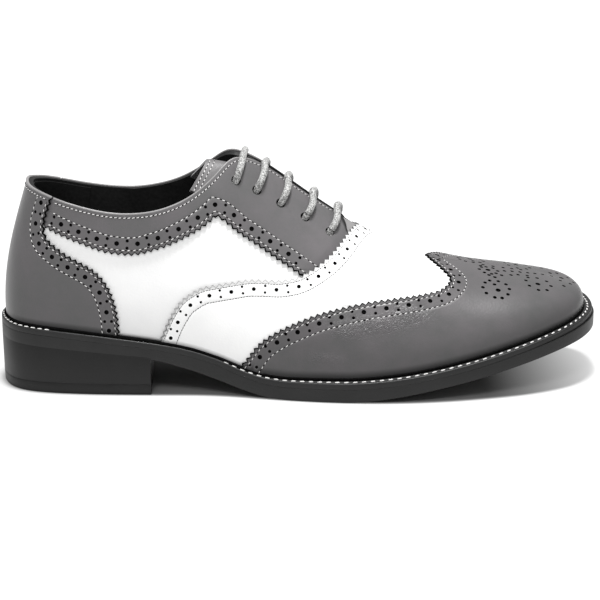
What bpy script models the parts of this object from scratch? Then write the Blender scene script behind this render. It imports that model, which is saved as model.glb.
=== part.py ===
"""A wingtip lace-up shoe for the right foot, built as separate pieces.

X runs from the heel to the toe, -Y is the outer side of the foot, Z is up.
Sizes in the tables are millimetres; the meshes are written in metres.
"""
import bpy
import numpy as np

MM = 0.001

# Thicknesses of the leather and the sole parts. The section table below gives the outside of the finished
# shoe, and the upper's own face lies SKIN inside it.
SKIN = 1.5
WALL = 2.0
PANEL_GAP = 0.5
FACING_GAP = 0.65
PANEL = 1.0
CAP_GAP = 0.6
CAP_PANEL = 1.2
WELT = 3.0
BOND_GAP = 0.3
SEAT_GAP = 0.3
HEEL_LIFT = 5.6
INSOLE_RISE = 3.0
INSOLE_GAP = 0.7

# Heel: where its front face stands, and how far its sides stand inside the sole
HEEL_BREAST_X = 77.0
HEEL_TOP_INSET = 0.7
HEEL_FOOT_INSET = 1.5

# Lace and eyelets
LACE_RADIUS = 1.75
LACE_SIDES = 6
LACE_CLEAR = 0.5
LACE_BEND = 2.9
LACE_CROWN = 1.4
EYELET_RADIUS = 2.9
EYELET_SIDES = 8

# Last and welt, one row for each section from the back of the heel to the tip of the toe.
# welt_x, lateral, medial: outer edge of the welt. ledge: how far the upper stands inside it.
# top_x, top_mid, top_half, top_z, top_tilt: the top line (collar, then facings, then crown of the vamp).
# rise, flare: length and outward angle of the wall's start. reach, lean: length and angle of its end.
SECTION_COLUMNS = ("welt_x", "lateral", "medial", "ledge", "top_x", "top_mid", "top_half", "top_z",
                   "top_tilt", "rise", "flare", "reach", "lean")
SECTIONS = np.array([
    (0.0, 0.0, 0.0, 2.2, 15.2, 0.0, 0.0, 103.7, 0.0, 26, 2, 26, 17),
    (2.6, -14.0, 13.5, 2.2, 17.0, 0.0, 11.0, 102.4, 0.0, 26, 2, 25, 15),
    (11.0, -25.8, 24.5, 2.2, 24.5, 0.0, 20.5, 100.0, 0.0, 25, 2, 24, 11),
    (29.0, -32.8, 30.5, 2.2, 38.5, -0.3, 27.5, 96.0, 0.0, 24, 2, 22, 9),
    (55.0, -36.2, 31.5, 1.8, 58.0, -0.5, 30.0, 92.4, 0.5, 24, 2, 20, 9),
    (80.0, -37.6, 30.8, 1.4, 77.0, -0.8, 29.5, 92.8, 0.8, 22, 2, 18, 11),
    (102.0, -38.6, 30.2, 1.4, 95.0, -1.2, 25.5, 98.6, 1.2, 24, 2, 20, 20),
    (119.0, -41.4, 31.0, 1.8, 110.0, -1.5, 17.0, 109.3, 1.5, 26, 2, 20, 32),
    (133.0, -45.2, 32.6, 2.6, 121.0, -0.8, 8.4, 115.6, 0.5, 26, 2, 20, 42),
    (148.0, -49.0, 35.0, 3.6, 137.0, 0.0, 4.0, 109.0, 0.0, 26, 2, 20, 50),
    (164.0, -52.2, 38.8, 4.4, 154.0, 0.6, 3.2, 97.0, 0.0, 25, 3, 20, 58),
    (182.0, -54.2, 43.4, 4.8, 175.0, 1.2, 1.2, 83.0, 0.0, 24, 4, 22, 70),
    (203.0, -54.6, 47.2, 5.0, 197.0, 3.2, 0.0, 70.4, 0.0, 22, 5, 25, 90),
    (225.0, -52.6, 49.4, 5.0, 218.0, 5.6, 0.0, 61.8, 0.0, 19, 5, 27, 90),
    (246.0, -48.4, 49.4, 5.0, 240.0, 8.2, 0.0, 56.1, 0.0, 17, 5, 28, 90),
    (265.0, -42.6, 47.6, 5.0, 257.0, 10.2, 0.0, 53.4, 0.0, 16, 5, 27, 90),
    (282.0, -34.0, 44.0, 5.0, 268.5, 11.6, 0.0, 51.3, 0.0, 15.5, 5, 22, 90),
    (295.0, -22.5, 38.0, 4.9, 275.0, 12.2, 0.0, 50.0, 0.0, 14, 5, 17, 90),
    (303.0, -7.0, 27.0, 4.8, 278.0, 12.2, 0.0, 49.3, 0.0, 12.5, 5, 14, 90),
    (305.0, 10.0, 10.0, 4.7, 279.0, 12.0, 0.0, 49.0, 0.0, 12, 5, 13.5, 90),
])
SECTION = dict(zip(SECTION_COLUMNS, SECTIONS.T))
TOE = len(SECTIONS) - 1
AROUND = 2 * TOE
# Sections where the facings stop and where the throat ends
FACING_STOP = 11.1
THROAT_END = 11.3

# Sole seen from the side: x, top of the welt, underside of the outsole
SOLE = np.array([
    (0, 34.4, 24.0), (30, 32.6, 22.4), (60, 29.4, 20.0), (78, 27.0, 18.2), (95, 23.8, 13.6),
    (110, 19.2, 8.4), (125, 13.3, 3.2), (136, 10.7, 0.7), (147, 9.9, 0.0), (174, 10.1, 0.0),
    (187, 10.9, 0.9), (204, 12.8, 3.4), (220, 15.5, 6.4), (240, 19.6, 10.4), (262, 25.0, 15.6),
    (284, 30.5, 20.8), (305, 35.2, 25.0),
])
# How far the outsole spreads beyond the welt: x, spread
SPREAD = np.array([(0, 0.0), (230, 0.0), (285, 0.7), (305, 1.0)])

# Panel edges on the upper: section number, share of the way from the sole to the top line
FOOT = 0.016
COUNTER_EDGE = np.array([
    (4.28, FOOT), (4.25, 0.15), (4.11, 0.35), (3.80, 0.50), (2.95, 0.633), (2.44, 0.724), (2.33, 0.814),
    (2.36, 0.90), (2.46, 1.0),
])
BAND_EDGE = np.array([
    (2.40, 0.765), (3.40, 0.705), (4.07, 0.658), (4.50, 0.650), (5.21, 0.691), (5.99, 0.743), (6.74, 0.777),
])
FACING_EDGE = np.array([(6.74, 0.777), (7.59, 0.610), (8.57, 0.530), (9.42, 0.484)])
VAMP_EDGE = np.array([
    (5.03, FOOT), (5.30, 0.21), (5.64, 0.35), (6.23, 0.424), (7.00, 0.430), (7.87, 0.431), (8.62, 0.438),
    (9.27, 0.467), (9.86, 0.532), (10.33, 0.615), (10.69, 0.716), (10.98, 0.832), (11.17, 0.92),
    (11.34, 1.0),
])
WING_EDGE = np.array([
    (7.05, FOOT), (7.87, 0.173), (8.52, 0.238), (9.19, 0.289), (10.22, 0.368), (11.16, 0.441),
    (12.24, 0.506), (12.71, 0.549), (13.01, 0.587), (13.27, 0.663), (13.32, 0.702), (13.21, 0.794),
    (13.03, 0.925), (12.98, 1.0),
])
# Mean size of one section step and of one full height, for gaps between panels
STEP_MM = 17.0
HEIGHT_MM = 75.0
BUTT_GAP = 0.5

# Eyelets on one side: section number, share of the height
EYELETS = np.array([(7.78, 0.854), (8.46, 0.800), (9.17, 0.784), (9.90, 0.785), (10.55, 0.782)])

# Tongue: x and z of its ridge at the free end, its middle, half width, fall of its corners, lean of that end
# and ridge rounding. Farther in it lies under the facings at a fixed depth, down to a share of the height.
TONGUE_X = 106.0
TONGUE_Z = 113.0
TONGUE_MID = -1.3
TONGUE_HALF = 18.6
TONGUE_FALL = 14.4
TONGUE_TILT = 34.5
TONGUE_RIDGE = 0.2
TONGUE_DEPTH = 6.6
TONGUE_LOW = 0.70
TONGUE_THICK = 1.8
TONGUE_FROM = 8.1
TONGUE_TO = 11.9

# Colours: red, green, blue, roughness
GREY_LEATHER = (0.155, 0.148, 0.152, 0.42)
WHITE_LEATHER = (0.82, 0.82, 0.82, 0.45)
DARK_SOLE = (0.030, 0.030, 0.031, 0.55)
INSOLE_TONE = (0.035, 0.034, 0.034, 0.80)
LACE_TONE = (0.30, 0.30, 0.30, 0.75)


def monotone(knots, values):
    """Smooth curve through the rows that does not overshoot between them."""
    k = np.asarray(knots, float)
    v = np.asarray(values, float)
    h = np.diff(k)
    slope = np.diff(v) / h
    m = np.zeros(len(k))
    for i in range(1, len(k) - 1):
        if slope[i - 1] * slope[i] > 0:
            a = 2 * h[i] + h[i - 1]
            b = h[i] + 2 * h[i - 1]
            m[i] = (a + b) / (a / slope[i - 1] + b / slope[i])
    m[0] = slope[0]
    m[-1] = slope[-1]

    def curve(q):
        q = np.clip(np.asarray(q, float), k[0], k[-1])
        i = np.clip(np.searchsorted(k, q, side="right") - 1, 0, len(k) - 2)
        u = (q - k[i]) / h[i]
        w = 1 - u
        ends = v[i] * (1 + 2 * u) * w * w + v[i + 1] * u * u * (3 - 2 * u)
        return ends + h[i] * (m[i] * u * w * w - m[i + 1] * u * u * w)

    return curve


def around(outer, inner):
    """Smooth closed curve: the outer side from heel to toe, then the inner side back to the heel."""
    v = np.concatenate([outer, inner[-2:0:-1]])
    n = len(v)
    eye = np.eye(n)
    bend = np.roll(eye, 1, 0) + np.roll(eye, -1, 0)
    m = np.linalg.solve(4 * eye + bend, 6 * (bend @ v - 2 * v))

    def curve(s):
        s = np.asarray(s, float) % n
        i = np.floor(s).astype(int) % n
        j = (i + 1) % n
        c = s - np.floor(s)
        a = 1 - c
        return a * v[i] + c * v[j] + ((a ** 3 - a) * m[i] + (c ** 3 - c) * m[j]) / 6

    return curve


welt_x = around(SECTION["welt_x"], SECTION["welt_x"])
welt_y = around(SECTION["lateral"], SECTION["medial"])
shape = {}
for column in ("ledge", "top_x", "top_mid", "top_z", "top_tilt", "rise", "flare", "reach", "lean"):
    shape[column] = around(SECTION[column], SECTION[column])
top_half = monotone(np.append(np.arange(12), [THROAT_END, 13, TOE]),
                    np.append(SECTION["top_half"][:12], [0, 0, 0]))
sole_top = monotone(SOLE[:, 0], SOLE[:, 1])
sole_under = monotone(SOLE[:, 0], SOLE[:, 2])
sole_spread = monotone(SPREAD[:, 0], SPREAD[:, 1])


def fold(s):
    """Section number 0..TOE for a place on either side."""
    s = np.asarray(s, float) % AROUND
    return np.where(s <= TOE, s, AROUND - s)


def side(s):
    """-1 on the outer side, +1 on the inner side."""
    return np.where(np.asarray(s, float) % AROUND <= TOE, -1.0, 1.0)


def edge_point(s, inset):
    """Point of the welt's outline moved inward, and the outward direction there."""
    e = 1e-3
    dx = welt_x(s + e) - welt_x(s - e)
    dy = welt_y(s + e) - welt_y(s - e)
    n = np.hypot(dx, dy)
    ox = dy / n
    oy = -dx / n
    return welt_x(s) - inset * ox, welt_y(s) - inset * oy, ox, oy


def upper_face(s, h):
    """Outside of the finished shoe: in each section a curve from the feather line (h 0) to the top (h 1)."""
    s, h = np.broadcast_arrays(np.asarray(s, float), np.asarray(h, float))
    fx, fy, ox, oy = edge_point(s, shape["ledge"](s))
    foot = np.stack([fx, fy, sole_top(fx) + SEAT_GAP], -1)
    place = fold(s)
    top = np.stack([shape["top_x"](s), shape["top_mid"](s) + side(s) * top_half(place),
                    shape["top_z"](s) + side(s) * shape["top_tilt"](s)], -1)
    flare = np.radians(shape["flare"](s))
    start = np.stack([ox * np.sin(flare), oy * np.sin(flare), np.cos(flare)], -1)
    out = foot[..., :2] - top[..., :2]
    out = out / np.linalg.norm(out, axis=-1, keepdims=True)
    e = 0.02
    near = np.clip(place, 0.5, TOE - 0.5)
    climb = shape["top_z"](near + e) - shape["top_z"](near - e)
    ridge = climb / (shape["top_x"](near + e) - shape["top_x"](near - e))
    lean = np.radians(shape["lean"](s))
    flat = np.sin(lean)
    fall = out[..., 0] * ridge * np.clip(flat, 0, 1) ** 6 - np.cos(lean)
    end = np.stack([out[..., 0] * flat, out[..., 1] * flat, fall], -1)
    p1 = foot + shape["rise"](s)[..., None] * start
    p2 = top + shape["reach"](s)[..., None] * end
    h = h[..., None]
    g = 1 - h
    return g ** 3 * foot + 3 * g * g * h * p1 + 3 * g * h * h * p2 + h ** 3 * top


def upper_normal(s, h):
    """Outward direction of the upper's face."""
    s, h = np.broadcast_arrays(np.asarray(s, float), np.clip(np.asarray(h, float), 0.012, 0.982))
    e = 0.01
    along = upper_face(s + e, h) - upper_face(s - e, h)
    up = upper_face(s, h + e) - upper_face(s, h - e)
    n = np.cross(along, up)
    return n / np.linalg.norm(n, axis=-1, keepdims=True)


def wall_point(s, h, height):
    """Point at a height above the upper's own face. On the crown both sides share one point."""
    s, h = np.broadcast_arrays(np.asarray(s, float), np.asarray(h, float))
    p = upper_face(s, h) + (height - SKIN) * upper_normal(s, h)
    q = upper_face(AROUND - s, h) + (height - SKIN) * upper_normal(AROUND - s, h)
    crown = (h > 1 - 1e-6) & (fold(s) >= THROAT_END - 1e-6)
    toe_line = np.abs(fold(s) - TOE) < 1e-6
    return np.where((crown | toe_line)[..., None], 0.5 * (p + q), p)


def grid_quads(rows, columns, start=0):
    """Corner numbers of every cell of a grid of points."""
    i, j = np.meshgrid(np.arange(rows - 1), np.arange(columns - 1), indexing="ij")
    a = start + i * columns + j
    return np.stack([a, a + columns, a + columns + 1, a + 1], -1).reshape(-1, 4)


def split_quads(points, quads, pole=None):
    """Two triangles for each cell, along its shorter diagonal or through the pole point."""
    a, b, c, d = quads.T
    first = np.linalg.norm(points[a] - points[c], axis=1) <= np.linalg.norm(points[b] - points[d], axis=1)
    if pole is not None:
        first = np.where((a == pole) | (c == pole), True, first)
        first = np.where((b == pole) | (d == pole), False, first)
    one = np.where(first[:, None], np.stack([a, b, c], 1), np.stack([a, b, d], 1))
    two = np.where(first[:, None], np.stack([a, c, d], 1), np.stack([b, c, d], 1))
    tris = np.concatenate([one, two])
    keep = (tris[:, 0] != tris[:, 1]) & (tris[:, 1] != tris[:, 2]) & (tris[:, 0] != tris[:, 2])
    return tris[keep]


def thick_sheet(outside, inside, quads, pole_at=None):
    """Closed solid from two matching faces; its open borders are walled."""
    _, first, back = np.unique(np.round(outside, 3), axis=0, return_index=True, return_inverse=True)
    back = back.reshape(-1)
    outside = outside[first]
    inside = inside[first]
    pole = None
    if pole_at is not None:
        pole = int(np.argmin(np.linalg.norm(outside - pole_at, axis=1)))
    tris = split_quads(outside, back[quads], pole)
    edges = np.concatenate([tris[:, [0, 1]], tris[:, [1, 2]], tris[:, [2, 0]]])
    known = set(map(tuple, edges))
    rim = np.array([e for e in edges if (e[1], e[0]) not in known])
    n = len(outside)
    walls = np.concatenate([np.stack([rim[:, 1], rim[:, 0], rim[:, 0] + n], 1),
                            np.stack([rim[:, 1], rim[:, 0] + n, rim[:, 1] + n], 1)])
    return np.concatenate([outside, inside]), np.concatenate([tris, tris[:, ::-1] + n, walls])


def ring_stack(rings):
    """Closed solid from matching outlines, one above the other; each end is closed by strips across."""
    n = len(rings[0])
    points = np.concatenate(rings)
    k = np.arange(n)
    m = (k + 1) % n
    tris = []
    for r in range(len(rings) - 1):
        low = r * n
        tris.append(np.stack([low + k, low + m, low + n + m], 1))
        tris.append(np.stack([low + k, low + n + m, low + n + k], 1))
    i = np.arange(n // 2 - 1)
    strip = np.stack([i, i + 1, n - 2 - i, n - 1 - i], 1)
    end = (len(rings) - 1) * n
    tris.append(split_quads(points, strip)[:, ::-1])
    tris.append(split_quads(points, strip + end))
    return points, np.concatenate(tris)


pieces = {}


def keep_piece(name, points, tris, colour):
    """Hold a piece until the frame is known; its faces are turned outward."""
    corner = points[tris]
    volume = np.einsum("ij,ij->i", corner[:, 0], np.cross(corner[:, 1], corner[:, 2])).sum()
    pieces[name] = (points, tris if volume > 0 else tris[:, ::-1], colour)


def even_stations(start, stop, count):
    """Section numbers from start to stop, closer together where the shoe's outline bends more."""
    q = np.linspace(start, stop, 600)
    weight = 0
    for turn in (q, AROUND - q):
        way = np.gradient(np.stack([welt_x(turn), welt_y(turn), sole_top(welt_x(turn))], -1), axis=0)
        step = np.linalg.norm(way, axis=1)
        bend = np.linalg.norm(np.gradient(way / step[:, None], axis=0), axis=1)
        weight = weight + np.sqrt(step * bend + step * step / 150)
    run = np.append(0, np.cumsum(0.5 * (weight[1:] + weight[:-1])))
    return np.interp(np.linspace(0, 1, count), run / run[-1], q)


# Stations round the whole shoe, set so that both sides pair up across it
SIDE_STATIONS = even_stations(0, TOE, 36)
SIDE_STATIONS = 0.5 * (SIDE_STATIONS[1:] + SIDE_STATIONS[:-1])
SOLE_STATIONS = np.concatenate([SIDE_STATIONS, AROUND - SIDE_STATIONS[::-1]])


def outline(inset, level):
    """Closed outline of the sole at an inset; the level is a function of x."""
    x, y, _, _ = edge_point(SOLE_STATIONS, inset)
    return np.stack([x, y, level(x)], -1)


# Outsole: a plate with a bevelled lower edge and a slightly spread toe
def outsole_top(x):
    return sole_top(x) - WELT - BOND_GAP


station_spread = sole_spread(welt_x(SOLE_STATIONS))
points, tris = ring_stack([
    outline(0.9 - station_spread, sole_under),
    outline(-station_spread, lambda x: sole_under(x) + 0.9),
    outline(-station_spread, lambda x: outsole_top(x) - 0.6),
    outline(0.5 + 0 * station_spread, outsole_top),
])
keep_piece("outsole", points, tris, DARK_SOLE)

# Welt: a strip that carries the upper, with a rounded outer rim
ledge = shape["ledge"](SOLE_STATIONS)
welt_inner = ledge + WALL + 3.6
rings = [
    outline(welt_inner, lambda x: sole_top(x) - WELT),
    outline(0 * ledge, lambda x: sole_top(x) - WELT),
    outline(0 * ledge, lambda x: sole_top(x) - 0.7),
    outline(0.6 + 0 * ledge, sole_top),
    outline(welt_inner, sole_top),
]
n = len(SOLE_STATIONS)
k = np.arange(n)
m = (k + 1) % n
tris = []
for r in range(len(rings)):
    low = r * n
    high = (r + 1) % len(rings) * n
    tris.append(np.stack([low + k, low + m, high + m], 1))
    tris.append(np.stack([low + k, high + m, high + k], 1))
keep_piece("welt", np.concatenate(rings), np.concatenate(tris), DARK_SOLE)

# Insole: a board on the welt, filled down to the outsole inside the strip
wall_in = wall_point(SOLE_STATIONS, 0.0, -WALL - INSOLE_GAP)
wall_up = wall_point(SOLE_STATIONS, 0.03, -WALL - INSOLE_GAP)
plug = outline(welt_inner + 0.4, outsole_top)


def at_level(ring, level):
    """The outline moved to a level above the sole's curve."""
    return np.stack([ring[:, 0], ring[:, 1], level(ring[:, 0])], -1)


points, tris = ring_stack([
    at_level(plug, lambda x: outsole_top(x) + 0.3),
    at_level(plug, lambda x: sole_top(x) + 0.4),
    at_level(wall_in, lambda x: sole_top(x) + 0.4),
    at_level(wall_up, lambda x: sole_top(x) + INSOLE_RISE),
])
keep_piece("insole", points, tris, INSOLE_TONE)

# Heel: a block under the seat with an upright front face, and its wearing piece
seat = np.linspace(0, 8, 400)
breast = np.interp(HEEL_BREAST_X, welt_x(seat), seat)
heel_side = even_stations(0, breast, 14)
heel_side[0] = 0.4 * heel_side[1]
heel_stations = np.concatenate([-heel_side[::-1], heel_side])


def heel_ring(inset, level):
    """Outline of the heel at an inset; its front points stay on the front face."""
    x, y, _, _ = edge_point(heel_stations, inset)
    x[[0, -1]] = HEEL_BREAST_X
    return np.stack([x, y, level(x)], -1)


points, tris = ring_stack([
    heel_ring(HEEL_FOOT_INSET, lambda x: HEEL_LIFT + 0 * x),
    heel_ring(HEEL_TOP_INSET, lambda x: sole_under(x) - 1.5 * BOND_GAP),
])
keep_piece("heel_block", points, tris, DARK_SOLE)
points, tris = ring_stack([
    heel_ring(HEEL_FOOT_INSET + 0.7, lambda x: 0 * x),
    heel_ring(HEEL_FOOT_INSET + 0.1, lambda x: 0.7 + 0 * x),
    heel_ring(HEEL_FOOT_INSET, lambda x: HEEL_LIFT - BOND_GAP + 0 * x),
])
keep_piece("heel_lift", points, tris, DARK_SOLE)

# Upper: one hollow wall round the last, open at the collar, the throat and underneath
half_round = even_stations(0, BAND_EDGE[0, 0], 7)
for start, stop, count in ((BAND_EDGE[0, 0], FACING_EDGE[0, 0], 9),
                           (FACING_EDGE[0, 0], FACING_EDGE[-1, 0], 6), (FACING_EDGE[-1, 0], FACING_STOP, 5),
                           (FACING_STOP, THROAT_END, 2), (THROAT_END, TOE, 14)):
    half_round = np.append(half_round, even_stations(start, stop, count)[1:])
stations = np.concatenate([half_round, AROUND - half_round[-2::-1]])
rows = np.array([0, 0.14, 0.30, 0.46, 0.62, 0.77, 0.90, 1.0])
s, h = np.meshgrid(stations, rows, indexing="ij")
tip = wall_point(TOE, 1.0, 0.0)
points, tris = thick_sheet(wall_point(s, h, 0.0).reshape(-1, 3), wall_point(s, h, -WALL).reshape(-1, 3),
                           grid_quads(len(stations), len(rows)), tip)
keep_piece("upper", points, tris, WHITE_LEATHER)


# Panel edges as smooth curves over a share t of their length, from the sole upward
def edge_curve(table):
    size = table * (STEP_MM, HEIGHT_MM)
    run = np.append(0, np.cumsum(np.linalg.norm(np.diff(size, axis=0), axis=1)))
    along_s = monotone(run / run[-1], table[:, 0])
    along_h = monotone(run / run[-1], table[:, 1])
    return lambda t: np.stack([along_s(t), along_h(t)], -1)


def beside(curve, gap):
    """The edge moved sideways by a gap, toward the heel when the gap is positive."""
    def moved(t):
        t = np.asarray(t, float)
        e = 1e-3
        d = (curve(np.minimum(t + e, 1)) - curve(np.maximum(t - e, 0))) * (STEP_MM, HEIGHT_MM)
        d = d / np.linalg.norm(d, axis=-1, keepdims=True)
        q = curve(t) + gap * np.stack([-d[..., 1], d[..., 0]], -1) / (STEP_MM, HEIGHT_MM)
        q[..., 1] = np.clip(q[..., 1], FOOT, 1)
        q[..., 1] = np.where(t > 1 - 1e-9, 1.0, q[..., 1])
        return q
    return moved


vamp_edge = edge_curve(VAMP_EDGE)
wing_edge = edge_curve(WING_EDGE)


def both_sides(name, s, h, low, high, colour, pole_at=None):
    """A panel that crosses the crown or the toe: the outer half and its mirror on the inner side."""
    count = s.size
    quads = grid_quads(*s.shape)
    quads = np.concatenate([quads, quads[:, ::-1] + count])
    outside = np.concatenate([wall_point(t, h, high).reshape(-1, 3) for t in (s, AROUND - s)])
    inside = np.concatenate([wall_point(t, h, low).reshape(-1, 3) for t in (s, AROUND - s)])
    points, tris = thick_sheet(outside, inside, quads, pole_at)
    keep_piece(name, points, tris, colour)


# Wing cap: from its pinked edge down to the welt and round the toe
turn = 0.72
t = np.append(np.linspace(0, turn, 17), np.linspace(turn, 1, 8)[1:])
r = np.linspace(0, 1, 10) ** 0.85
near = wing_edge(t)
far_s = np.interp(t, np.linspace(0, turn, 60), even_stations(near[0, 0], TOE, 60))
far_h = np.where(t < turn, FOOT, FOOT + (1 - FOOT) * np.clip((t - turn) / (1 - turn), 0, 1))
s = near[:, :1] + (far_s[:, None] - near[:, :1]) * r
h = near[:, 1:] + (far_h[:, None] - near[:, 1:]) * r
cap_high = CAP_GAP + CAP_PANEL
both_sides("wing_cap", s, h, CAP_GAP, cap_high, GREY_LEATHER, wall_point(TOE, 1.0, cap_high))

# Vamp: between its pinked back edge and the wing cap
r = np.linspace(0, 1, 6)
near = vamp_edge(t)
far = beside(wing_edge, BUTT_GAP)(t)
s = near[:, :1] + (far[:, :1] - near[:, :1]) * r
h = near[:, 1:] + (far[:, 1:] - near[:, 1:]) * r
both_sides("vamp", s, h, PANEL_GAP, PANEL_GAP + PANEL, WHITE_LEATHER)

# Heel counter: round the back, from the welt to the collar
counter_edge = monotone(COUNTER_EDGE[:, 1], COUNTER_EDGE[:, 0])
h_rows = np.concatenate([np.linspace(FOOT, 0.5, 5), np.linspace(0.58, 1.0, 6)])
counter_side = even_stations(0, COUNTER_EDGE[0, 0], 8) / COUNTER_EDGE[0, 0]
u, h = np.meshgrid(np.concatenate([-counter_side[:0:-1], counter_side]), h_rows, indexing="ij")
s = u * counter_edge(h)
points, tris = thick_sheet(wall_point(s, h, PANEL_GAP + PANEL).reshape(-1, 3),
                           wall_point(s, h, PANEL_GAP).reshape(-1, 3), grid_quads(*s.shape))
keep_piece("heel_counter", points, tris, GREY_LEATHER)

# Facings: lace panels that run back into the collar band, one on each side
samples = np.linspace(0, 1, 400)
facing_front = beside(vamp_edge, BUTT_GAP)(samples)
band_low = monotone(BAND_EDGE[:, 0], BAND_EDGE[:, 1])
facing_low = monotone(FACING_EDGE[:, 0], FACING_EDGE[:, 1])
front_from = FACING_EDGE[-1, 0]
ahead = facing_front[:, 0] > front_from - 0.3


def low_edge(s):
    """Lower edge of the facing: the band, then its rear edge, then along the vamp."""
    front = np.interp(s, facing_front[ahead, 0], facing_front[ahead, 1])
    rear = np.where(s < BAND_EDGE[-1, 0], band_low(s), facing_low(s))
    return np.where(s < front_from, rear, np.maximum(front, FACING_EDGE[-1, 1]))


u_s = half_round[(half_round > BAND_EDGE[0, 0] - 0.01) & (half_round < FACING_STOP + 0.01)]
v = np.linspace(0, 1, 6)
h = low_edge(u_s)[:, None] + (1 - low_edge(u_s))[:, None] * v
u = ((u_s - u_s[0]) / (u_s[-1] - u_s[0]))[:, None]
heel_end = counter_edge(h) + 1.6 * BUTT_GAP / STEP_MM
toe_end = np.interp(h, facing_front[:, 1], facing_front[:, 0])
last = np.arange(len(u_s))[:, None] == len(u_s) - 1
s = np.where(last, np.minimum(toe_end, FACING_STOP), u_s[:, None] + (1 - u) ** 6 * (heel_end - u_s[0]))
for name, places in (("facing_lateral", s), ("facing_medial", AROUND - s)):
    points, tris = thick_sheet(wall_point(places, h, FACING_GAP + PANEL).reshape(-1, 3),
                               wall_point(places, h, FACING_GAP).reshape(-1, 3), grid_quads(*s.shape))
    keep_piece(name, points, tris, GREY_LEATHER)

# Tongue: a ridged flap under the facings, longer than they are at its free end
tilt = np.radians(TONGUE_TILT)
u = np.linspace(-1, 1, 9)
rounding = np.sqrt(1 + TONGUE_RIDGE ** 2) - TONGUE_RIDGE
fall = TONGUE_FALL * (np.sqrt(u * u + TONGUE_RIDGE ** 2) - TONGUE_RIDGE) / rounding
free_end = np.stack([TONGUE_X - fall * np.sin(tilt), TONGUE_MID + TONGUE_HALF * u,
                     TONGUE_Z - fall * np.cos(tilt)], -1)
l = np.linspace(TONGUE_FROM, TONGUE_TO, 9)
depth_s, depth_u = np.meshgrid(l, np.abs(u), indexing="ij")
depth_h = 1 - depth_u * (1 - TONGUE_LOW)
outer_half = wall_point(depth_s, depth_h, -TONGUE_DEPTH)
inner_half = wall_point(AROUND - depth_s, depth_h, -TONGUE_DEPTH)
under = np.where(u[:, None] < 0, outer_half, inner_half)
under[:, u == 0] = 0.5 * (outer_half + inner_half)[:, u == 0]
middle = 0.5 * (free_end + under[0]) + (0, 0, 0.6)
face = np.concatenate([free_end[None], middle[None], under])
along = np.gradient(face, axis=0)
across = np.gradient(face, axis=1)
out = np.cross(across, along)
out = out / np.linalg.norm(out, axis=-1, keepdims=True)
out = out * np.sign(out[..., 2:3])
points, tris = thick_sheet(face.reshape(-1, 3), (face - TONGUE_THICK * out).reshape(-1, 3),
                           grid_quads(*face.shape[:2]))
keep_piece("tongue", points, tris, GREY_LEATHER)

# Lace: one cord that crosses the throat in five bars and runs under the facings between them
lace_over = FACING_GAP + PANEL + LACE_RADIUS + LACE_CLEAR
lace_under = WALL + LACE_RADIUS + LACE_CLEAR


def eyelet_place(number, inner):
    s, h = EYELETS[number]
    return (AROUND - s if inner else s), h


corners = []
for number in range(len(EYELETS)):
    first_inner = number % 2 == 1
    s0, h0 = eyelet_place(number, first_inner)
    s1, h1 = eyelet_place(number, not first_inner)
    corners.append(wall_point(s0, h0, -lace_under))
    corners.append(wall_point(s0, h0, lace_over))
    corners.append(wall_point(s0, 1.0, lace_over + LACE_CROWN))
    corners.append(wall_point(s1, 1.0, lace_over + LACE_CROWN))
    corners.append(wall_point(s1, h1, lace_over))
    corners.append(wall_point(s1, h1, -lace_under))
corners = np.array(corners)


def rounded(corners, bend, steps):
    """A path through the corners with each corner rounded off."""
    path = [corners[:1]]
    q = np.linspace(0, 1, steps)[:, None]
    for a, b, c in zip(corners[:-2], corners[1:-1], corners[2:]):
        back = min(bend, 0.49 * np.linalg.norm(a - b))
        ahead = min(bend, 0.49 * np.linalg.norm(c - b))
        p0 = b + (a - b) / np.linalg.norm(a - b) * back
        p2 = b + (c - b) / np.linalg.norm(c - b) * ahead
        path.append((1 - q) ** 2 * p0 + 2 * q * (1 - q) * b + q * q * p2)
    path.append(corners[-1:])
    return np.concatenate(path)


path = rounded(corners, LACE_BEND, 3)
ahead = np.gradient(path, axis=0)
ahead = ahead / np.linalg.norm(ahead, axis=1, keepdims=True)
frame = np.cross(ahead[0], (1.0, 0.0, 0.0))
ring_angle = np.arange(LACE_SIDES) * 2 * np.pi / LACE_SIDES
cord = []
for p, d in zip(path, ahead):
    frame = frame - d * np.dot(frame, d)
    frame = frame / np.linalg.norm(frame)
    other = np.cross(d, frame)
    ring = np.cos(ring_angle)[:, None] * frame + np.sin(ring_angle)[:, None] * other
    cord.append(p + LACE_RADIUS * ring)
points, tris = ring_stack(cord)
keep_piece("lace", points, tris, LACE_TONE)

# Frame: the middle of the whole shoe's box, on the floor
everything = np.concatenate([p for p, _, _ in pieces.values()])
low = everything.min(0)
high = everything.max(0)
ORIGIN = np.array([(low[0] + high[0]) / 2, (low[1] + high[1]) / 2, 0.0])

for item in list(bpy.data.objects):
    bpy.data.objects.remove(item, do_unlink=True)


def make_object(name, points, tris):
    mesh = bpy.data.meshes.new(name)
    mesh.from_pydata(((points - ORIGIN) * MM).tolist(), [], tris.tolist())
    mesh.update()
    item = bpy.data.objects.new(name, mesh)
    bpy.context.scene.collection.objects.link(item)
    return item


def make_material(name, colour):
    material = bpy.data.materials.new(name + "_material")
    material.use_nodes = True
    shader = material.node_tree.nodes["Principled BSDF"]
    shader.inputs["Base Color"].default_value = (*colour[:3], 1.0)
    shader.inputs["Roughness"].default_value = colour[3]
    return material


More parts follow.
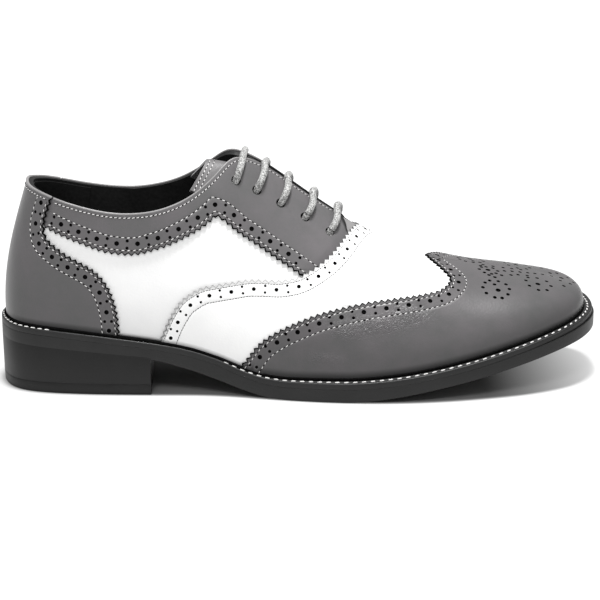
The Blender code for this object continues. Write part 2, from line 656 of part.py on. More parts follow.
def punch_solid(inner_side):
    """Joined plugs that cut the eyelet holes of one side."""
    all_points = []
    all_tris = []
    angle = np.arange(EYELET_SIDES) * 2 * np.pi / EYELET_SIDES
    for number in range(len(EYELETS)):
        s, h = eyelet_place(number, inner_side)
        centre = wall_point(s, h, 0.0)
        up = upper_normal(s, h)
        right = np.cross(up, (1.0, 0.0, 0.0))
        right = right / np.linalg.norm(right)
        fore = np.cross(right, up)
        ring = EYELET_RADIUS * (np.cos(angle)[:, None] * right + np.sin(angle)[:, None] * fore)
        points, tris = ring_stack([centre - 5 * up + ring, centre + 5 * up + ring])
        all_tris.append(tris + sum(len(p) for p in all_points))
        all_points.append(points)
    return np.concatenate(all_points), np.concatenate(all_tris)


def cut_holes(item, inner_side):
    """Cut the eyelet holes of one side through a piece."""
    points, tris = punch_solid(inner_side)
    corner = points[tris]
    volume = np.einsum("ij,ij->i", corner[:, 0], np.cross(corner[:, 1], corner[:, 2])).sum()
    punch = make_object("punch", points, tris if volume > 0 else tris[:, ::-1])
    cutter = item.modifiers.new("eyelets", "BOOLEAN")
    cutter.operation = "DIFFERENCE"
    cutter.solver = "MANIFOLD"
    cutter.object = punch
    bpy.context.view_layer.update()
    result = bpy.data.meshes.new_from_object(item.evaluated_get(bpy.context.evaluated_depsgraph_get()))
    item.modifiers.clear()
    item.data = result
    bpy.data.objects.remove(punch, do_unlink=True)


for name, (points, tris, colour) in pieces.items():
    item = make_object(name, points, tris)
    if name in ("upper", "facing_lateral"):
        cut_holes(item, False)
    if name in ("upper", "facing_medial"):
        cut_holes(item, True)
    item.data.name = name
    item.data.materials.clear()
    item.data.materials.append(make_material(name, colour))
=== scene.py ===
"""A wingtip lace-up shoe for the right foot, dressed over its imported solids.

X runs from the heel to the toe, -Y is the outer side of the foot, Z is up. Sizes are in
millimetres from the back of the heel; place() turns them into the frame's metres.
"""

import bpy
import numpy as np
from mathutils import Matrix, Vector


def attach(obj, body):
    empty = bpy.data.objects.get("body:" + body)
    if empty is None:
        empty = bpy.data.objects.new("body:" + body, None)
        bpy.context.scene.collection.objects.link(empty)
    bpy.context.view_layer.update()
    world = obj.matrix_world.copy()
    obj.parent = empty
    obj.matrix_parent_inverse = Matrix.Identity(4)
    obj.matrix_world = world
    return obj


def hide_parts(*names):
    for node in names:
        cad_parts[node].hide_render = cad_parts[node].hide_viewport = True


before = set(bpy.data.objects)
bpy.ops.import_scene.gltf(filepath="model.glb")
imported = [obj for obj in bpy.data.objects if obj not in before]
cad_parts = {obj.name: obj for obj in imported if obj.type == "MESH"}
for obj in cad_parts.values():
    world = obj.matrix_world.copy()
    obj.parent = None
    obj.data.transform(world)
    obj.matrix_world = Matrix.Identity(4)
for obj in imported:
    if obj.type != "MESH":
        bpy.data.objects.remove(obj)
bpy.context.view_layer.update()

# Outsole
# The plate that the shoe walks on: one moulded black plate with a squared and
# smoothly trimmed edge. It is cemented under the welt and bends up at the waist and toe.
MIDDLE = np.array((153.03878, -2.50872, 0.0))
WELT_THICK = 3.0
WELT_GAP = 0.05
# outline of the welt from the back of the heel to the tip of the toe: x, outer side y, inner side y
OUTLINE = np.array([
    (0, 0, 0), (2.6, -14, 13.5), (11, -25.8, 24.5), (29, -32.8, 30.5), (55, -36.2, 31.5), (80, -37.6, 30.8),
    (102, -38.6, 30.2), (119, -41.4, 31), (133, -45.2, 32.6), (148, -49, 35), (164, -52.2, 38.8),
    (182, -54.2, 43.4), (203, -54.6, 47.2), (225, -52.6, 49.4), (246, -48.4, 49.4), (265, -42.6, 47.6),
    (282, -34, 44), (295, -22.5, 38), (303, -7, 27), (305, 10, 10),
])
# the sole from the side: x, top of the welt, underside of the outsole
SOLE = np.array([
    (0, 34.4, 24), (30, 32.6, 22.4), (60, 29.4, 20), (78, 27, 18.2), (95, 23.8, 13.6), (110, 19.2, 8.4),
    (125, 13.3, 3.2), (136, 10.7, 0.7), (147, 9.9, 0), (174, 10.1, 0), (187, 10.9, 0.9), (204, 12.8, 3.4),
    (220, 15.5, 6.4), (240, 19.6, 10.4), (262, 25, 15.6), (284, 30.5, 20.8), (305, 35.2, 25),
])
# how far the outsole spreads beyond the welt: x, spread
SPREAD = np.array([(0, 0), (230, 0), (285, 0.7), (305, 1.0)])
# edge of the outsole: inset from the outline, share of the way up to its top, share of the spread
OUTSOLE_EDGE = (
    (1.1, 0, 0), (0.45, 0.02, 0), (0.12, 0.06, 1), (0, 0.13, 1), (0, 0.5, 1), (0, 0.94, 1), (0.03, 0.98, 1),
    (0.12, 1.0, 1),
)
TOE = len(OUTLINE) - 1
AROUND = 2 * TOE
EDGE_STEPS = 460


def place(points):
    """Millimetres of the shoe to metres of the frame: less the middle of its box, over a thousand."""
    return (np.asarray(points) - MIDDLE) / 1000


def through(knots, values):
    """Cubic through the rows whose slope at a row is the weighted harmonic mean of the slopes on
    either side, or zero at a turn, so that it never overshoots."""
    k = np.asarray(knots, float)
    v = np.asarray(values, float)
    gap = np.diff(k)
    slope = np.diff(v) / gap
    a = 2 * gap[1:] + gap[:-1]
    b = gap[1:] + 2 * gap[:-1]
    same = slope[:-1] * slope[1:] > 0
    one = np.where(same, slope[:-1], 1)
    two = np.where(same, slope[1:], 1)
    m = np.concatenate([slope[:1], np.where(same, (a + b) / (a / one + b / two), 0), slope[-1:]])

    def curve(q):
        q = np.clip(np.asarray(q, float), k[0], k[-1])
        i = np.clip(np.searchsorted(k, q, side="right") - 1, 0, len(k) - 2)
        u = (q - k[i]) / gap[i]
        w = 1 - u
        ends = v[i] * (1 + 2 * u) * w * w + v[i + 1] * u * u * (3 - 2 * u)
        return ends + gap[i] * (m[i] * u * w * w - m[i + 1] * u * u * w)

    return curve


def around(outer, inner):
    """Closed cubic spline of a column of the sections: outer side from heel to toe, inner side back."""
    v = np.concatenate([outer, inner[-2:0:-1]])
    n = len(v)
    eye = np.eye(n)
    bend = np.roll(eye, 1, 0) + np.roll(eye, -1, 0)
    m = np.linalg.solve(4 * eye + bend, 6 * (bend @ v - 2 * v))

    def curve(s):
        s = np.asarray(s, float) % n
        i = np.floor(s).astype(int) % n
        j = (i + 1) % n
        c = s - np.floor(s)
        a = 1 - c
        return a * v[i] + c * v[j] + ((a ** 3 - a) * m[i] + (c ** 3 - c) * m[j]) / 6

    return curve


welt_x = around(OUTLINE[:, 0], OUTLINE[:, 0])
welt_y = around(OUTLINE[:, 1], OUTLINE[:, 2])
sole_top = through(SOLE[:, 0], SOLE[:, 1])
sole_under = through(SOLE[:, 0], SOLE[:, 2])
sole_spread = through(SPREAD[:, 0], SPREAD[:, 1])
sole_steps = (np.arange(EDGE_STEPS) + 0.5) * AROUND / EDGE_STEPS


def edge_point(s, inset):
    """Point of the welt's outline at section s moved inward by the inset, and the outward direction."""
    e = 1e-3
    dx = welt_x(s + e) - welt_x(s - e)
    dy = welt_y(s + e) - welt_y(s - e)
    n = np.hypot(dx, dy)
    return welt_x(s) - inset * dy / n, welt_y(s) + inset * dx / n, dy / n, -dx / n


def sole_ring(inset, level):
    """Ring round the sole: its outline moved inward by the inset, at the level that x gives."""
    x, y, _, _ = edge_point(sole_steps, inset)
    return np.stack([x, y, level(x) + 0 * x], -1)


def outsole_level(share):
    """Level at a share of the way from the underside of the outsole to its top, just below the welt."""
    return lambda x: sole_under(x) + share * (sole_top(x) - WELT_THICK - WELT_GAP - sole_under(x))


def cells(rows, columns, rows_close=False, columns_close=False):
    """Corner numbers of each cell of a grid of points, joined round where a direction closes."""
    i, j = np.meshgrid(np.arange(rows - (not rows_close)), np.arange(columns - (not columns_close)),
                       indexing="ij")
    i2 = (i + 1) % rows
    j2 = (j + 1) % columns
    corners = (i * columns + j, i2 * columns + j, i2 * columns + j2, i * columns + j2)
    return np.stack(corners, -1).reshape(-1, 4)


def side_to_side(n):
    """Strips that fill a ring of n points, each from one side of the ring to the other."""
    i = np.arange(n // 2 - 1)
    return np.stack([i, i + 1, n - 2 - i, n - 1 - i], 1)


def stacked(rings):
    """Closed solid of rings one above the other, each end closed by strips from side to side."""
    rings = np.array(rings)
    rows, n = rings.shape[:2]
    strip = side_to_side(n)
    walls = cells(rows, n, columns_close=True)
    return rings.reshape(-1, 3), np.concatenate([walls, strip, strip[:, ::-1] + (rows - 1) * n])


def make_piece(name, points, faces, looks, nodes, look_of=None, sharp=40, marks=None):
    """Mesh object from millimetre points and faces of four corners. A face that repeats a corner
    becomes a triangle. The faces are turned outward by the sign of the volume they enclose."""
    faces = np.asarray(faces)
    look_of = np.zeros(len(faces), int) if look_of is None else np.asarray(look_of, int)
    points = np.asarray(points, float)
    a, b, c, d = (points[faces[:, k]] for k in range(4))
    volume = np.einsum("ij,ij->", a, np.cross(b, c)) + np.einsum("ij,ij->", a, np.cross(c, d))
    if volume < 0:
        faces = faces[:, ::-1]
    twice = faces == np.roll(faces, -1, axis=1)
    whole = ~twice.any(1)
    folded = twice.sum(1) == 1
    three = faces[folded][~twice[folded]].reshape(-1, 3)
    mesh = bpy.data.meshes.new(name)
    mesh.from_pydata(place(points).tolist(), [], faces[whole].tolist() + three.tolist())
    mesh.polygons.foreach_set("material_index", np.concatenate([look_of[whole], look_of[folded]]))
    for mark, values in (marks or {}).items():
        mesh.attributes.new(mark, "FLOAT", "POINT").data.foreach_set("value", np.asarray(values, np.float32))
    for look in looks:
        mesh.materials.append(look)
    mesh.shade_smooth()
    mesh.set_sharp_from_angle(angle=np.radians(sharp))
    mesh.update()
    piece = bpy.data.objects.new(name, mesh)
    bpy.context.scene.collection.objects.link(piece)
    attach(piece, "root")
    if nodes:
        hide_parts(*nodes)
    return piece


def add(tree, kind, links=(), **settings):
    """New node: settings are its properties, or its input values by socket name with _ for spaces;
    links are pairs of input name and the output that feeds it."""
    node = tree.nodes.new(kind)
    for key, value in settings.items():
        if hasattr(node, key) and key not in node.inputs:
            setattr(node, key, value)
        else:
            node.inputs[key.replace("_", " ")].default_value = value
    for socket, source in links:
        tree.links.new(source, node.inputs[socket])
    return node


def ramp(tree, source, low, high, to_low=0.0, to_high=1.0):
    """Value mapped straight from one range to another and held at its ends."""
    node = add(tree, "ShaderNodeMapRange", [("Value", source)], From_Min=low, From_Max=high, To_Min=to_low,
               To_Max=to_high)
    return node.outputs["Result"]


def mixed(tree, share, one, two):
    """Colour between two, by a share; each of them is a grey level, a colour or an output."""
    node = add(tree, "ShaderNodeMix", data_type="RGBA")
    tree.links.new(share, node.inputs["Factor"])
    for socket, colour in ((node.inputs[6], one), (node.inputs[7], two)):
        if isinstance(colour, bpy.types.NodeSocket):
            tree.links.new(colour, socket)
        else:
            socket.default_value = (*np.broadcast_to(colour, 3), 1.0)
    return node.outputs[2]


def new_look(name, **sockets):
    """Material with a plain Principled shader, its constant sockets set by name."""
    look = bpy.data.materials.new(name)
    look.use_nodes = True
    shader = look.node_tree.nodes["Principled BSDF"]
    for key, value in sockets.items():
        shader.inputs[key.replace("_", " ")].default_value = value
    return look, look.node_tree, shader


def noise(tree, **settings):
    """Noise over the piece's own coordinates."""
    where = add(tree, "ShaderNodeTexCoord").outputs["Object"]
    return add(tree, "ShaderNodeTexNoise", [("Vector", where)], **settings).outputs["Fac"]


def bumped(tree, shader, height, strength, distance):
    """Bump by a height, given to the shader as its normal."""
    bump = add(tree, "ShaderNodeBump", [("Height", height)], Strength=strength, Distance=distance)
    tree.links.new(bump.outputs["Normal"], shader.inputs["Normal"])


def flecked_look(name, dark, light, fleck, low=0.3, high=0.7, **sockets):
    """Material of two tones mixed by noise; fleck holds the noise's settings. Gives the noise too."""
    look, tree, shader = new_look(name, **sockets)
    flecks = noise(tree, **fleck)
    tree.links.new(mixed(tree, ramp(tree, flecks, low, high), dark, light), shader.inputs["Base Color"])
    return look, tree, shader, flecks


def sole_finish(name, low, high):
    """Trimmed and waxed black edge: two dark tones and two roughnesses by soft clouds, and a fine bump."""
    soft = dict(Scale=70.0, Detail=5.0)
    look, tree, shader, cloud = flecked_look(name, low, high, soft, Specular_IOR_Level=0.3)
    tree.links.new(ramp(tree, cloud, 0.25, 0.75, to_low=0.40, to_high=0.52), shader.inputs["Roughness"])
    bumped(tree, shader, noise(tree, Scale=1400.0, Detail=3.0), strength=0.25, distance=0.0003)
    return look


sole_look = sole_finish("black_sole", 0.011, 0.017)
spread = sole_spread(welt_x(sole_steps))
rings = [sole_ring(inset - wide * spread, outsole_level(share)) for inset, share, wide in OUTSOLE_EDGE]
points, faces = stacked(rings)
make_piece("outsole_plate", points, faces, [sole_look], ["outsole"])

# Heel
# A black heel block, glued and nailed under the seat and trimmed smooth, and below it a rubber top
# piece that wears on the floor; a fine line shows where the two meet.
HEEL_FRONT = 77.0
TOP_PIECE = 5.6
HEEL_SEAT = 1.3
BLOCK_INSET = 0.35
BLOCK_FLARE = 0.36
# side of the block: share of its height, further inset at its rounded rims
BLOCK_SIDE = ((0.0, 0.15), (0.015, 0.0), (0.5, 0.0), (0.995, 0.0), (1.0, 0.04))
# side of the top piece: inset, height
TOP_PIECE_SIDE = ((1.3, 0.0), (0.8, 0.25), (0.55, 0.8), (0.36, TOP_PIECE - 0.3), (0.5, TOP_PIECE - 0.05))

seat = np.linspace(0, 8, 400)
breast = np.interp(HEEL_FRONT, welt_x(seat), seat)
heel_steps = np.linspace(-breast, breast, 180)


def heel_ring(inset, level):
    """Outline of the heel at an inset, its two front corners kept on the front face."""
    x, y, _, _ = edge_point(heel_steps, inset)
    x[[0, -1]] = HEEL_FRONT
    return np.stack([x, y, level(x) + 0 * x], -1)


def block_level(share):
    """Level at a share of the way from the top piece to the straight side of the outsole's edge."""
    return lambda x: TOP_PIECE + share * (sole_under(x) + HEEL_SEAT - TOP_PIECE)


heel_look = sole_finish("black_heel", 0.005, 0.009)
rings = [heel_ring(BLOCK_INSET - BLOCK_FLARE * share + cut, block_level(share)) for share, cut in BLOCK_SIDE]
points, faces = stacked(rings)
make_piece("heel_stack", points, faces, [heel_look], ["heel_block"], sharp=50)
points, faces = stacked([heel_ring(inset, lambda x: height) for inset, height in TOP_PIECE_SIDE])
make_piece("heel_top_piece", points, faces, [heel_look], ["heel_lift"], sharp=50)

# Welt
# A strip of black leather round the whole shoe, sewn to the upper and to the outsole. Its rim is
# rounded and a white lockstitch runs in a groove on its top, left out at the narrow waist.
LEDGE = np.array((2.2, 2.2, 2.2, 2.2, 1.8, 1.4, 1.4, 1.8, 2.6, 3.6, 4.4, 4.8, 5, 5, 5, 5, 5, 4.9, 4.8, 4.7))
WELT_UNDER = 5.6
GROOVE_DEEP = 0.22
WELT_STITCH = 4.4
SEAT_STITCH = 3.75
SEAT_END = 4
WAIST = (2.9, 6.6)
THREAD = ((0.58, 0.57, 0.56), (0.82, 0.81, 0.80))

ledge = around(LEDGE, LEDGE)


def fold(s):
    """Section number 0 to TOE for a place on either side."""
    s = np.asarray(s, float) % AROUND
    return np.where(s <= TOE, s, AROUND - s)


def unit(v):
    """Vectors brought to length one."""
    return v / np.linalg.norm(v, axis=-1, keepdims=True)


def groove_at(s):
    """Distance of the welt's stitch groove from its rim: half the ledge, between 1.0 and 2.3."""
    return np.clip(0.5 * ledge(s), 1.0, 2.3)


def hooped(rings):
    """Profile carried round the shoe: its rings joined both ways."""
    rings = np.array(rings)
    return rings.reshape(-1, 3), cells(*rings.shape[:2], rows_close=True, columns_close=True)


def stitches(centre, ahead, up, length, thick, slant=0.0):
    """Joined capsules, one at each centre: six-sided rings of radius 0.45, 0.9, 1, 0.9, 0.45 of half the
    thickness along a length, half sunk, turned by the slant about the way up."""
    side = unit(np.cross(up, ahead))
    ahead = np.cross(side, up)
    c, d = np.cos(slant), np.sin(slant)
    ahead, side = ahead * c + side * d, side * c - ahead * d
    along = np.array((-0.5, -0.36, 0, 0.36, 0.5)) * length
    size = np.array((0.45, 0.9, 1.0, 0.9, 0.45)) * thick / 2
    turn = np.arange(6) * np.pi / 3
    points = (centre[:, None, None] + along[:, None, None] * ahead[:, None, None]
              + (size[:, None] * np.cos(turn))[..., None] * side[:, None, None]
              + (size[:, None] * np.sin(turn))[..., None] * up[:, None, None])
    caps = np.array([(0, 1, 2, 3), (0, 3, 4, 5), (27, 26, 25, 24), (29, 28, 27, 24)])
    one = np.concatenate([cells(5, 6, columns_close=True), caps])
    return points.reshape(-1, 3), (one + 30 * np.arange(len(centre))[:, None, None]).reshape(-1, 4)


groove = groove_at(sole_steps)
inner = ledge(sole_steps) + WELT_UNDER
# section of the welt: inset from the rim, height
profile = (
    (inner, -WELT_THICK), (0.1, -WELT_THICK), (0.0, -2.8), (0.0, -0.7), (0.1, -0.3), (0.35, -0.06),
    (groove - 0.55, 0.0), (groove - 0.3, -GROOVE_DEEP), (groove + 0.3, -GROOVE_DEEP), (groove + 0.55, 0.0),
    (inner, 0.0),
)
points, faces = hooped([sole_ring(inset, lambda x: sole_top(x) + level) for inset, level in profile])
make_piece("welt_strip", points, faces, [sole_look], ["welt"], sharp=60)

thread_look = flecked_look("white_thread", *THREAD, dict(Scale=900.0), Roughness=0.65, Sheen_Weight=0.2)[0]
s = np.linspace(0, AROUND, 6000)
x, y, _, _ = edge_point(s, groove_at(s))
line = np.stack([x, y, sole_top(x)], -1)
pitch = np.where(fold(s) < SEAT_END, SEAT_STITCH, WELT_STITCH)
tally = np.append(0, np.cumsum(np.linalg.norm(np.diff(line, axis=0), axis=1) / pitch[1:]))
spots = np.interp(np.arange(0.5, tally[-1] - 0.4), tally, s)
spots = spots[(fold(spots) < WAIST[0]) | (fold(spots) > WAIST[1])]
x, y, ox, oy = edge_point(spots, groove_at(spots))
slope = sole_top(x + 0.5) - sole_top(x - 0.5)
ahead = np.stack([-oy, ox, -oy * slope], -1)
up = np.stack([-slope, 0 * slope, 1 + 0 * slope], -1)
centre = np.stack([x, y, sole_top(x) - 0.05], -1)
points, faces = stitches(centre, ahead, up, length=2.25, thick=0.78, slant=0.22)
make_piece("welt_stitching", points, faces, [thread_look], [])

# Insole and lining
# Inside, a flat insole board covered in black leather lies on the welt, and the whole upper is lined
# with thin black leather, glued to it and sewn along the collar. A second layer grips the heel.
THROAT_END = 11.3
FOOT_GAP = 0.3
BALL = 13.1
BALL_REACH = 0.85
BALL_FILL = 1.8
CROWN_DROP = 1.5
LINING_OUT = -2.3
LINING_IN = -3.5
LINING_TONES = (0.004, 0.010)
# edge of the insole: share of the wall's height, distance from the face, level above the welt
INSOLE_EDGE = ((0.0, -4.2, 0.4), (0.0, -3.9, 2.0), (0.02, -4.2, 2.8), (0.03, -5.2, 3.0))
GRIP_END = 3.35
GRIP_THICK = 0.8
# the upper's sections, one row for each row of the outline: top line x, middle, half width, height and
# tilt, then length and outward angle of the wall's start, length and lean of its end
UPPER = np.array([
    (15.2, 0, 0, 103.7, 0, 26, 2, 26, 17), (17, 0, 11, 102.4, 0, 26, 2, 25, 15),
    (24.5, 0, 20.5, 100, 0, 25, 2, 24, 11), (38.5, -0.3, 27.5, 96, 0, 24, 2, 22, 9),
    (58, -0.5, 30, 92.4, 0.5, 24, 2, 20, 9), (77, -0.8, 29.5, 92.8, 0.8, 22, 2, 18, 11),
    (95, -1.2, 25.5, 98.6, 1.2, 24, 2, 20, 20), (110, -1.5, 17, 109.3, 1.5, 26, 2, 20, 32),
    (121, -0.8, 8.4, 115.6, 0.5, 26, 2, 20, 42), (137, 0, 4, 109, 0, 26, 2, 20, 50),
    (154, 0.6, 3.2, 97, 0, 25, 3, 20, 58), (175, 1.2, 1.2, 83, 0, 24, 4, 22, 70),
    (197, 3.2, 0, 70.4, 0, 22, 5, 25, 90), (218, 5.6, 0, 61.8, 0, 19, 5, 27, 90),
    (240, 8.2, 0, 56.1, 0, 17, 5, 28, 90), (257, 10.2, 0, 53.4, 0, 16, 5, 27, 90),
    (268.5, 11.6, 0, 51.3, 0, 15.5, 5, 22, 90), (275, 12.2, 0, 50, 0, 14, 5, 17, 90),
    (278, 12.2, 0, 49.3, 0, 12.5, 5, 14, 90), (279, 12, 0, 49, 0, 12, 5, 13.5, 90),
])

top_x, top_mid, _, top_z, top_tilt, rise, flare, reach, lean = (around(c, c) for c in UPPER.T)
top_half = through(np.append(np.arange(12), [THROAT_END, 13, TOE]), np.append(UPPER[:12, 2], [0, 0, 0]))


def face(s, h):
    """Outside of the shoe: in section s a cubic from the feather line (h 0) to the top line (h 1).
    It starts at the welt's ledge, leaves it at the flare angle and reaches the top line at the lean angle.
    Round the ball of the foot the crown is let down and the inner side filled, each by a bell curve."""
    s, h = np.broadcast_arrays(np.asarray(s, float), np.asarray(h, float))
    side = np.where(s % AROUND <= TOE, -1.0, 1.0)
    fx, fy, ox, oy = edge_point(s, ledge(s))
    foot = np.stack([fx, fy, sole_top(fx) + FOOT_GAP], -1)
    row = fold(s)
    top = np.stack([top_x(s), top_mid(s) + side * top_half(row), top_z(s) + side * top_tilt(s)], -1)
    out_angle = np.radians(flare(s))
    start = np.stack([ox * np.sin(out_angle), oy * np.sin(out_angle), np.cos(out_angle)], -1)
    out = unit(foot[..., :2] - top[..., :2])
    e = 0.02
    near = np.clip(row, 0.5, TOE - 0.5)
    ridge = (top_z(near + e) - top_z(near - e)) / (top_x(near + e) - top_x(near - e))
    flat = np.sin(np.radians(lean(s)))
    fall = out[..., 0] * ridge * np.clip(flat, 0, 1) ** 6 - np.cos(np.radians(lean(s)))
    end = np.stack([out[..., 0] * flat, out[..., 1] * flat, fall], -1)
    p1 = foot + rise(s)[..., None] * start
    p2 = top + reach(s)[..., None] * end
    g = 1 - h
    filled = BALL_FILL * np.where(side > 0, np.exp(-((g - 0.28) / 0.13) ** 2), 0)
    ball = np.exp(-((row - BALL) / BALL_REACH) ** 2) * (filled - CROWN_DROP * np.exp(-(g / 0.2) ** 2))
    h, g = h[..., None], g[..., None]
    skin = g ** 3 * foot + 3 * g * g * h * p1 + 3 * g * h * h * p2 + h ** 3 * top
    return skin + ball[..., None] * (0.0, 0.0, 1.0)


def face_normal(s, h):
    """Outward direction of the face: its two tangents crossed."""
    s, h = np.broadcast_arrays(np.asarray(s, float), np.clip(np.asarray(h, float), 0.012, 0.982))
    e = 0.01
    return unit(np.cross(face(s + e, h) - face(s - e, h), face(s, h + e) - face(s, h - e)))


def on_upper(s, h, height):
    """Point at a height above the face. On the crown and the toe line both sides share one point."""
    s, h, height = np.broadcast_arrays(np.asarray(s, float), np.asarray(h, float), np.asarray(height, float))
    p = face(s, h) + height[..., None] * face_normal(s, h)
    q = face(AROUND - s, h) + height[..., None] * face_normal(AROUND - s, h)
    crown = (h > 1 - 1e-6) & (fold(s) >= THROAT_END - 1e-6)
    shared = crown | (np.abs(fold(s) - TOE) < 1e-6)
    return np.where(shared[..., None], 0.5 * (p + q), p)


def two_faced(outside, inside, faces):
    """Closed sheet: matching outer and inner faces, welded where their points meet, with every open
    border walled. Gives points, faces, kind of each face (0 outer, 1 inner, 2 wall) and the weld."""
    outside, inside = outside.reshape(-1, 3), inside.reshape(-1, 3)
    _, first, back = np.unique(np.round(outside, 3), axis=0, return_index=True, return_inverse=True)
    faces = back.reshape(-1)[faces]
    n = len(first)
    a = faces.reshape(-1)
    b = np.roll(faces, -1, axis=1).reshape(-1)
    real = a != b
    a, b = a[real], b[real]
    open_edge = ~np.isin(a * n + b, b * n + a)
    a, b = a[open_edge], b[open_edge]
    walls = np.stack([b, a, a + n, b + n], 1)
    kind = np.repeat((0, 1, 2), (len(faces), len(faces), len(walls)))
    return (np.concatenate([outside[first], inside[first]]),
            np.concatenate([faces, faces[:, ::-1] + n, walls]), kind, first)


def layer(s, h, outer, inner):
    """Closed sheet between two heights above the face, over a grid of sections and shares of the height."""
    return two_faced(on_upper(s, h, outer), on_upper(s, h, inner), cells(*s.shape))


lining_look, tree, shader, nap = flecked_look("black_lining", *LINING_TONES, dict(Scale=700.0, Detail=4.0),
                                              Specular_IOR_Level=0.3)
tree.links.new(ramp(tree, nap, 0.3, 0.7, to_low=0.55, to_high=0.75), shader.inputs["Roughness"])
bumped(tree, shader, nap, strength=0.3, distance=0.0003)

rings = []
for share, height, level in INSOLE_EDGE:
    ring = on_upper(sole_steps, share, height)
    rings.append(np.stack([ring[:, 0], ring[:, 1], sole_top(ring[:, 0]) + level], -1))
points, faces = stacked(rings)
make_piece("insole_cover", points, faces, [lining_look], ["insole"])

half_round = np.concatenate([np.linspace(0, THROAT_END, 111), np.linspace(THROAT_END, TOE, 71)[1:]])
steps = np.concatenate([half_round, AROUND - half_round[-2::-1]])
s, h = np.meshgrid(steps[::2], np.linspace(0, 1, 19), indexing="ij")
points, faces, _, _ = layer(s, h, LINING_OUT, LINING_IN)
lining = make_piece("lining", points, faces, [lining_look], [], sharp=60)

s, h = np.meshgrid(np.linspace(-GRIP_END, GRIP_END, 70), np.linspace(0.1, 0.98, 16), indexing="ij")
points, faces, _, _ = layer(s, h, LINING_IN + 0.1, LINING_IN + 0.1 - GRIP_THICK)
make_piece("heel_grip", points, faces, [lining_look], [], sharp=60)

# Quarters
# The white body of the upper: smooth full-grain leather lasted over the whole foot. The grey
# panels and the vamp lie on it, so it shows only in the quarter on each side.
QUARTER_OUT = -1.1
WHITE = ((0.84, 0.84, 0.84), (0.89, 0.89, 0.885))
# tone of the white leather's mark: a darkened cut edge, and painted shade
WHITE_DYE_AND_SHADE = (0.10, 0.10, 0.10)
QUARTER_SHARES = np.concatenate([[0, 0.012, 0.024], np.linspace(0, 1, 25)[1:]])
# rows of the quarters from this one up lie under the facings and the collar, and are black
HIDDEN_ROW = 24


def leather_group():
    """Leather: two tones mixed by soft clouds and darkened by a mark of edge dye and painted shade, roughness
    that wanders with the clouds, and a height made of pebbled cells, fine pores and, by the crease mark,
    small wrinkles."""
    group = bpy.data.node_groups.new("leather", "ShaderNodeTree")
    for label in ("Tone", "Light Tone", "Ink Tone"):
        group.interface.new_socket(label, in_out="INPUT", socket_type="NodeSocketColor")
    for label in ("Dye and Shade", "Crease"):
        group.interface.new_socket(label, in_out="INPUT", socket_type="NodeSocketFloat")
    group.interface.new_socket("Color", in_out="OUTPUT", socket_type="NodeSocketColor")
    for label in ("Roughness", "Height"):
        group.interface.new_socket(label, in_out="OUTPUT", socket_type="NodeSocketFloat")
    takes = group.nodes.new("NodeGroupInput").outputs
    gives = group.nodes.new("NodeGroupOutput").inputs
    where = add(group, "ShaderNodeTexCoord").outputs["Object"]
    cloud = noise(group, Scale=46.0, Detail=5.0, Roughness=0.65)
    tone = mixed(group, ramp(group, cloud, 0.3, 0.7), takes["Tone"], takes["Light Tone"])
    group.links.new(mixed(group, takes["Dye and Shade"], tone, takes["Ink Tone"]), gives["Color"])
    group.links.new(ramp(group, cloud, 0.25, 0.75, to_low=0.30, to_high=0.40), gives["Roughness"])
    cell = add(group, "ShaderNodeTexVoronoi", [("Vector", where)], feature="SMOOTH_F1", Scale=950.0)
    pores = noise(group, Scale=1700.0, Detail=2.0)
    grain = add(group, "ShaderNodeMath", [(0, cell.outputs["Distance"]), (1, pores)], operation="ADD")
    wrinkles = noise(group, Scale=900.0, Detail=2.0, Distortion=1.2)
    height = add(group, "ShaderNodeMath", [(0, wrinkles), (1, takes["Crease"]), (2, grain.outputs[0])],
                 operation="MULTIPLY_ADD")
    group.links.new(height.outputs[0], gives["Height"])
    return group


def faded(q):
    """1 at 0, 0 from 1 on, smooth between."""
    q = np.clip(q, 0, 1)
    return 1 - q * q * (3 - 2 * q)


def above_sole(s, h):
    """Millimetres up the wall from the feather line, near its foot: the start of the section's cubic."""
    return 3 * h * rise(s)


leather = leather_group()


def leather_look(name, tone, light, dye_and_shade_tone):
    """Leather finish: the group feeds colour, roughness and bump; dye-and-shade and crease are marks of the
    piece.
    """
    look, tree, shader = new_look(name, Specular_IOR_Level=0.36)
    part = add(tree, "ShaderNodeGroup", node_tree=leather)
    for socket, colour in (("Tone", tone), ("Light Tone", light), ("Ink Tone", dye_and_shade_tone)):
        part.inputs[socket].default_value = (*colour, 1.0)
    for socket, mark in (("Dye and Shade", "dye_and_shade"), ("Crease", "crease")):
        marked = add(tree, "ShaderNodeAttribute", attribute_name=mark)
        tree.links.new(marked.outputs["Fac"], part.inputs[socket])
    tree.links.new(part.outputs["Color"], shader.inputs["Base Color"])
    tree.links.new(part.outputs["Roughness"], shader.inputs["Roughness"])
    bumped(tree, shader, part.outputs["Height"], strength=0.6, distance=0.00005)
    return look


white_look = leather_look("white_leather", *WHITE, WHITE_DYE_AND_SHADE)
s, h = np.meshgrid(steps, QUARTER_SHARES, indexing="ij")
points, faces, kind, first = layer(s, h, QUARTER_OUT, LINING_OUT)
row = np.arange(len(faces)) % (s.shape[1] - 1)
foot_high = above_sole(s, h).reshape(-1)[first]
# painted shade: a dark line in the crevice at the welt, and a soft darkening up to 34 mm above the sole
dye_and_shade = np.maximum(faded((foot_high - 1.0) / 1.5), 0.17 * faded(foot_high / 34.0))
quarters = make_piece("quarters", points, faces, [white_look, lining_look], ["upper"],
                      look_of=(row >= HIDDEN_ROW) | (kind == 2), sharp=60, marks={"dye_and_shade": np.tile(dye_and_shade, 2)})

# Facings
# Grey leather lace panels, one on each side, that run back under the collar as a band. Their lower edge
# is pinked and double stitched, with a row of punched holes between, and five eyelets take the lace.
TOOTH = 3.3
TOOTH_DEEP = 1.5
PANEL = 1.0
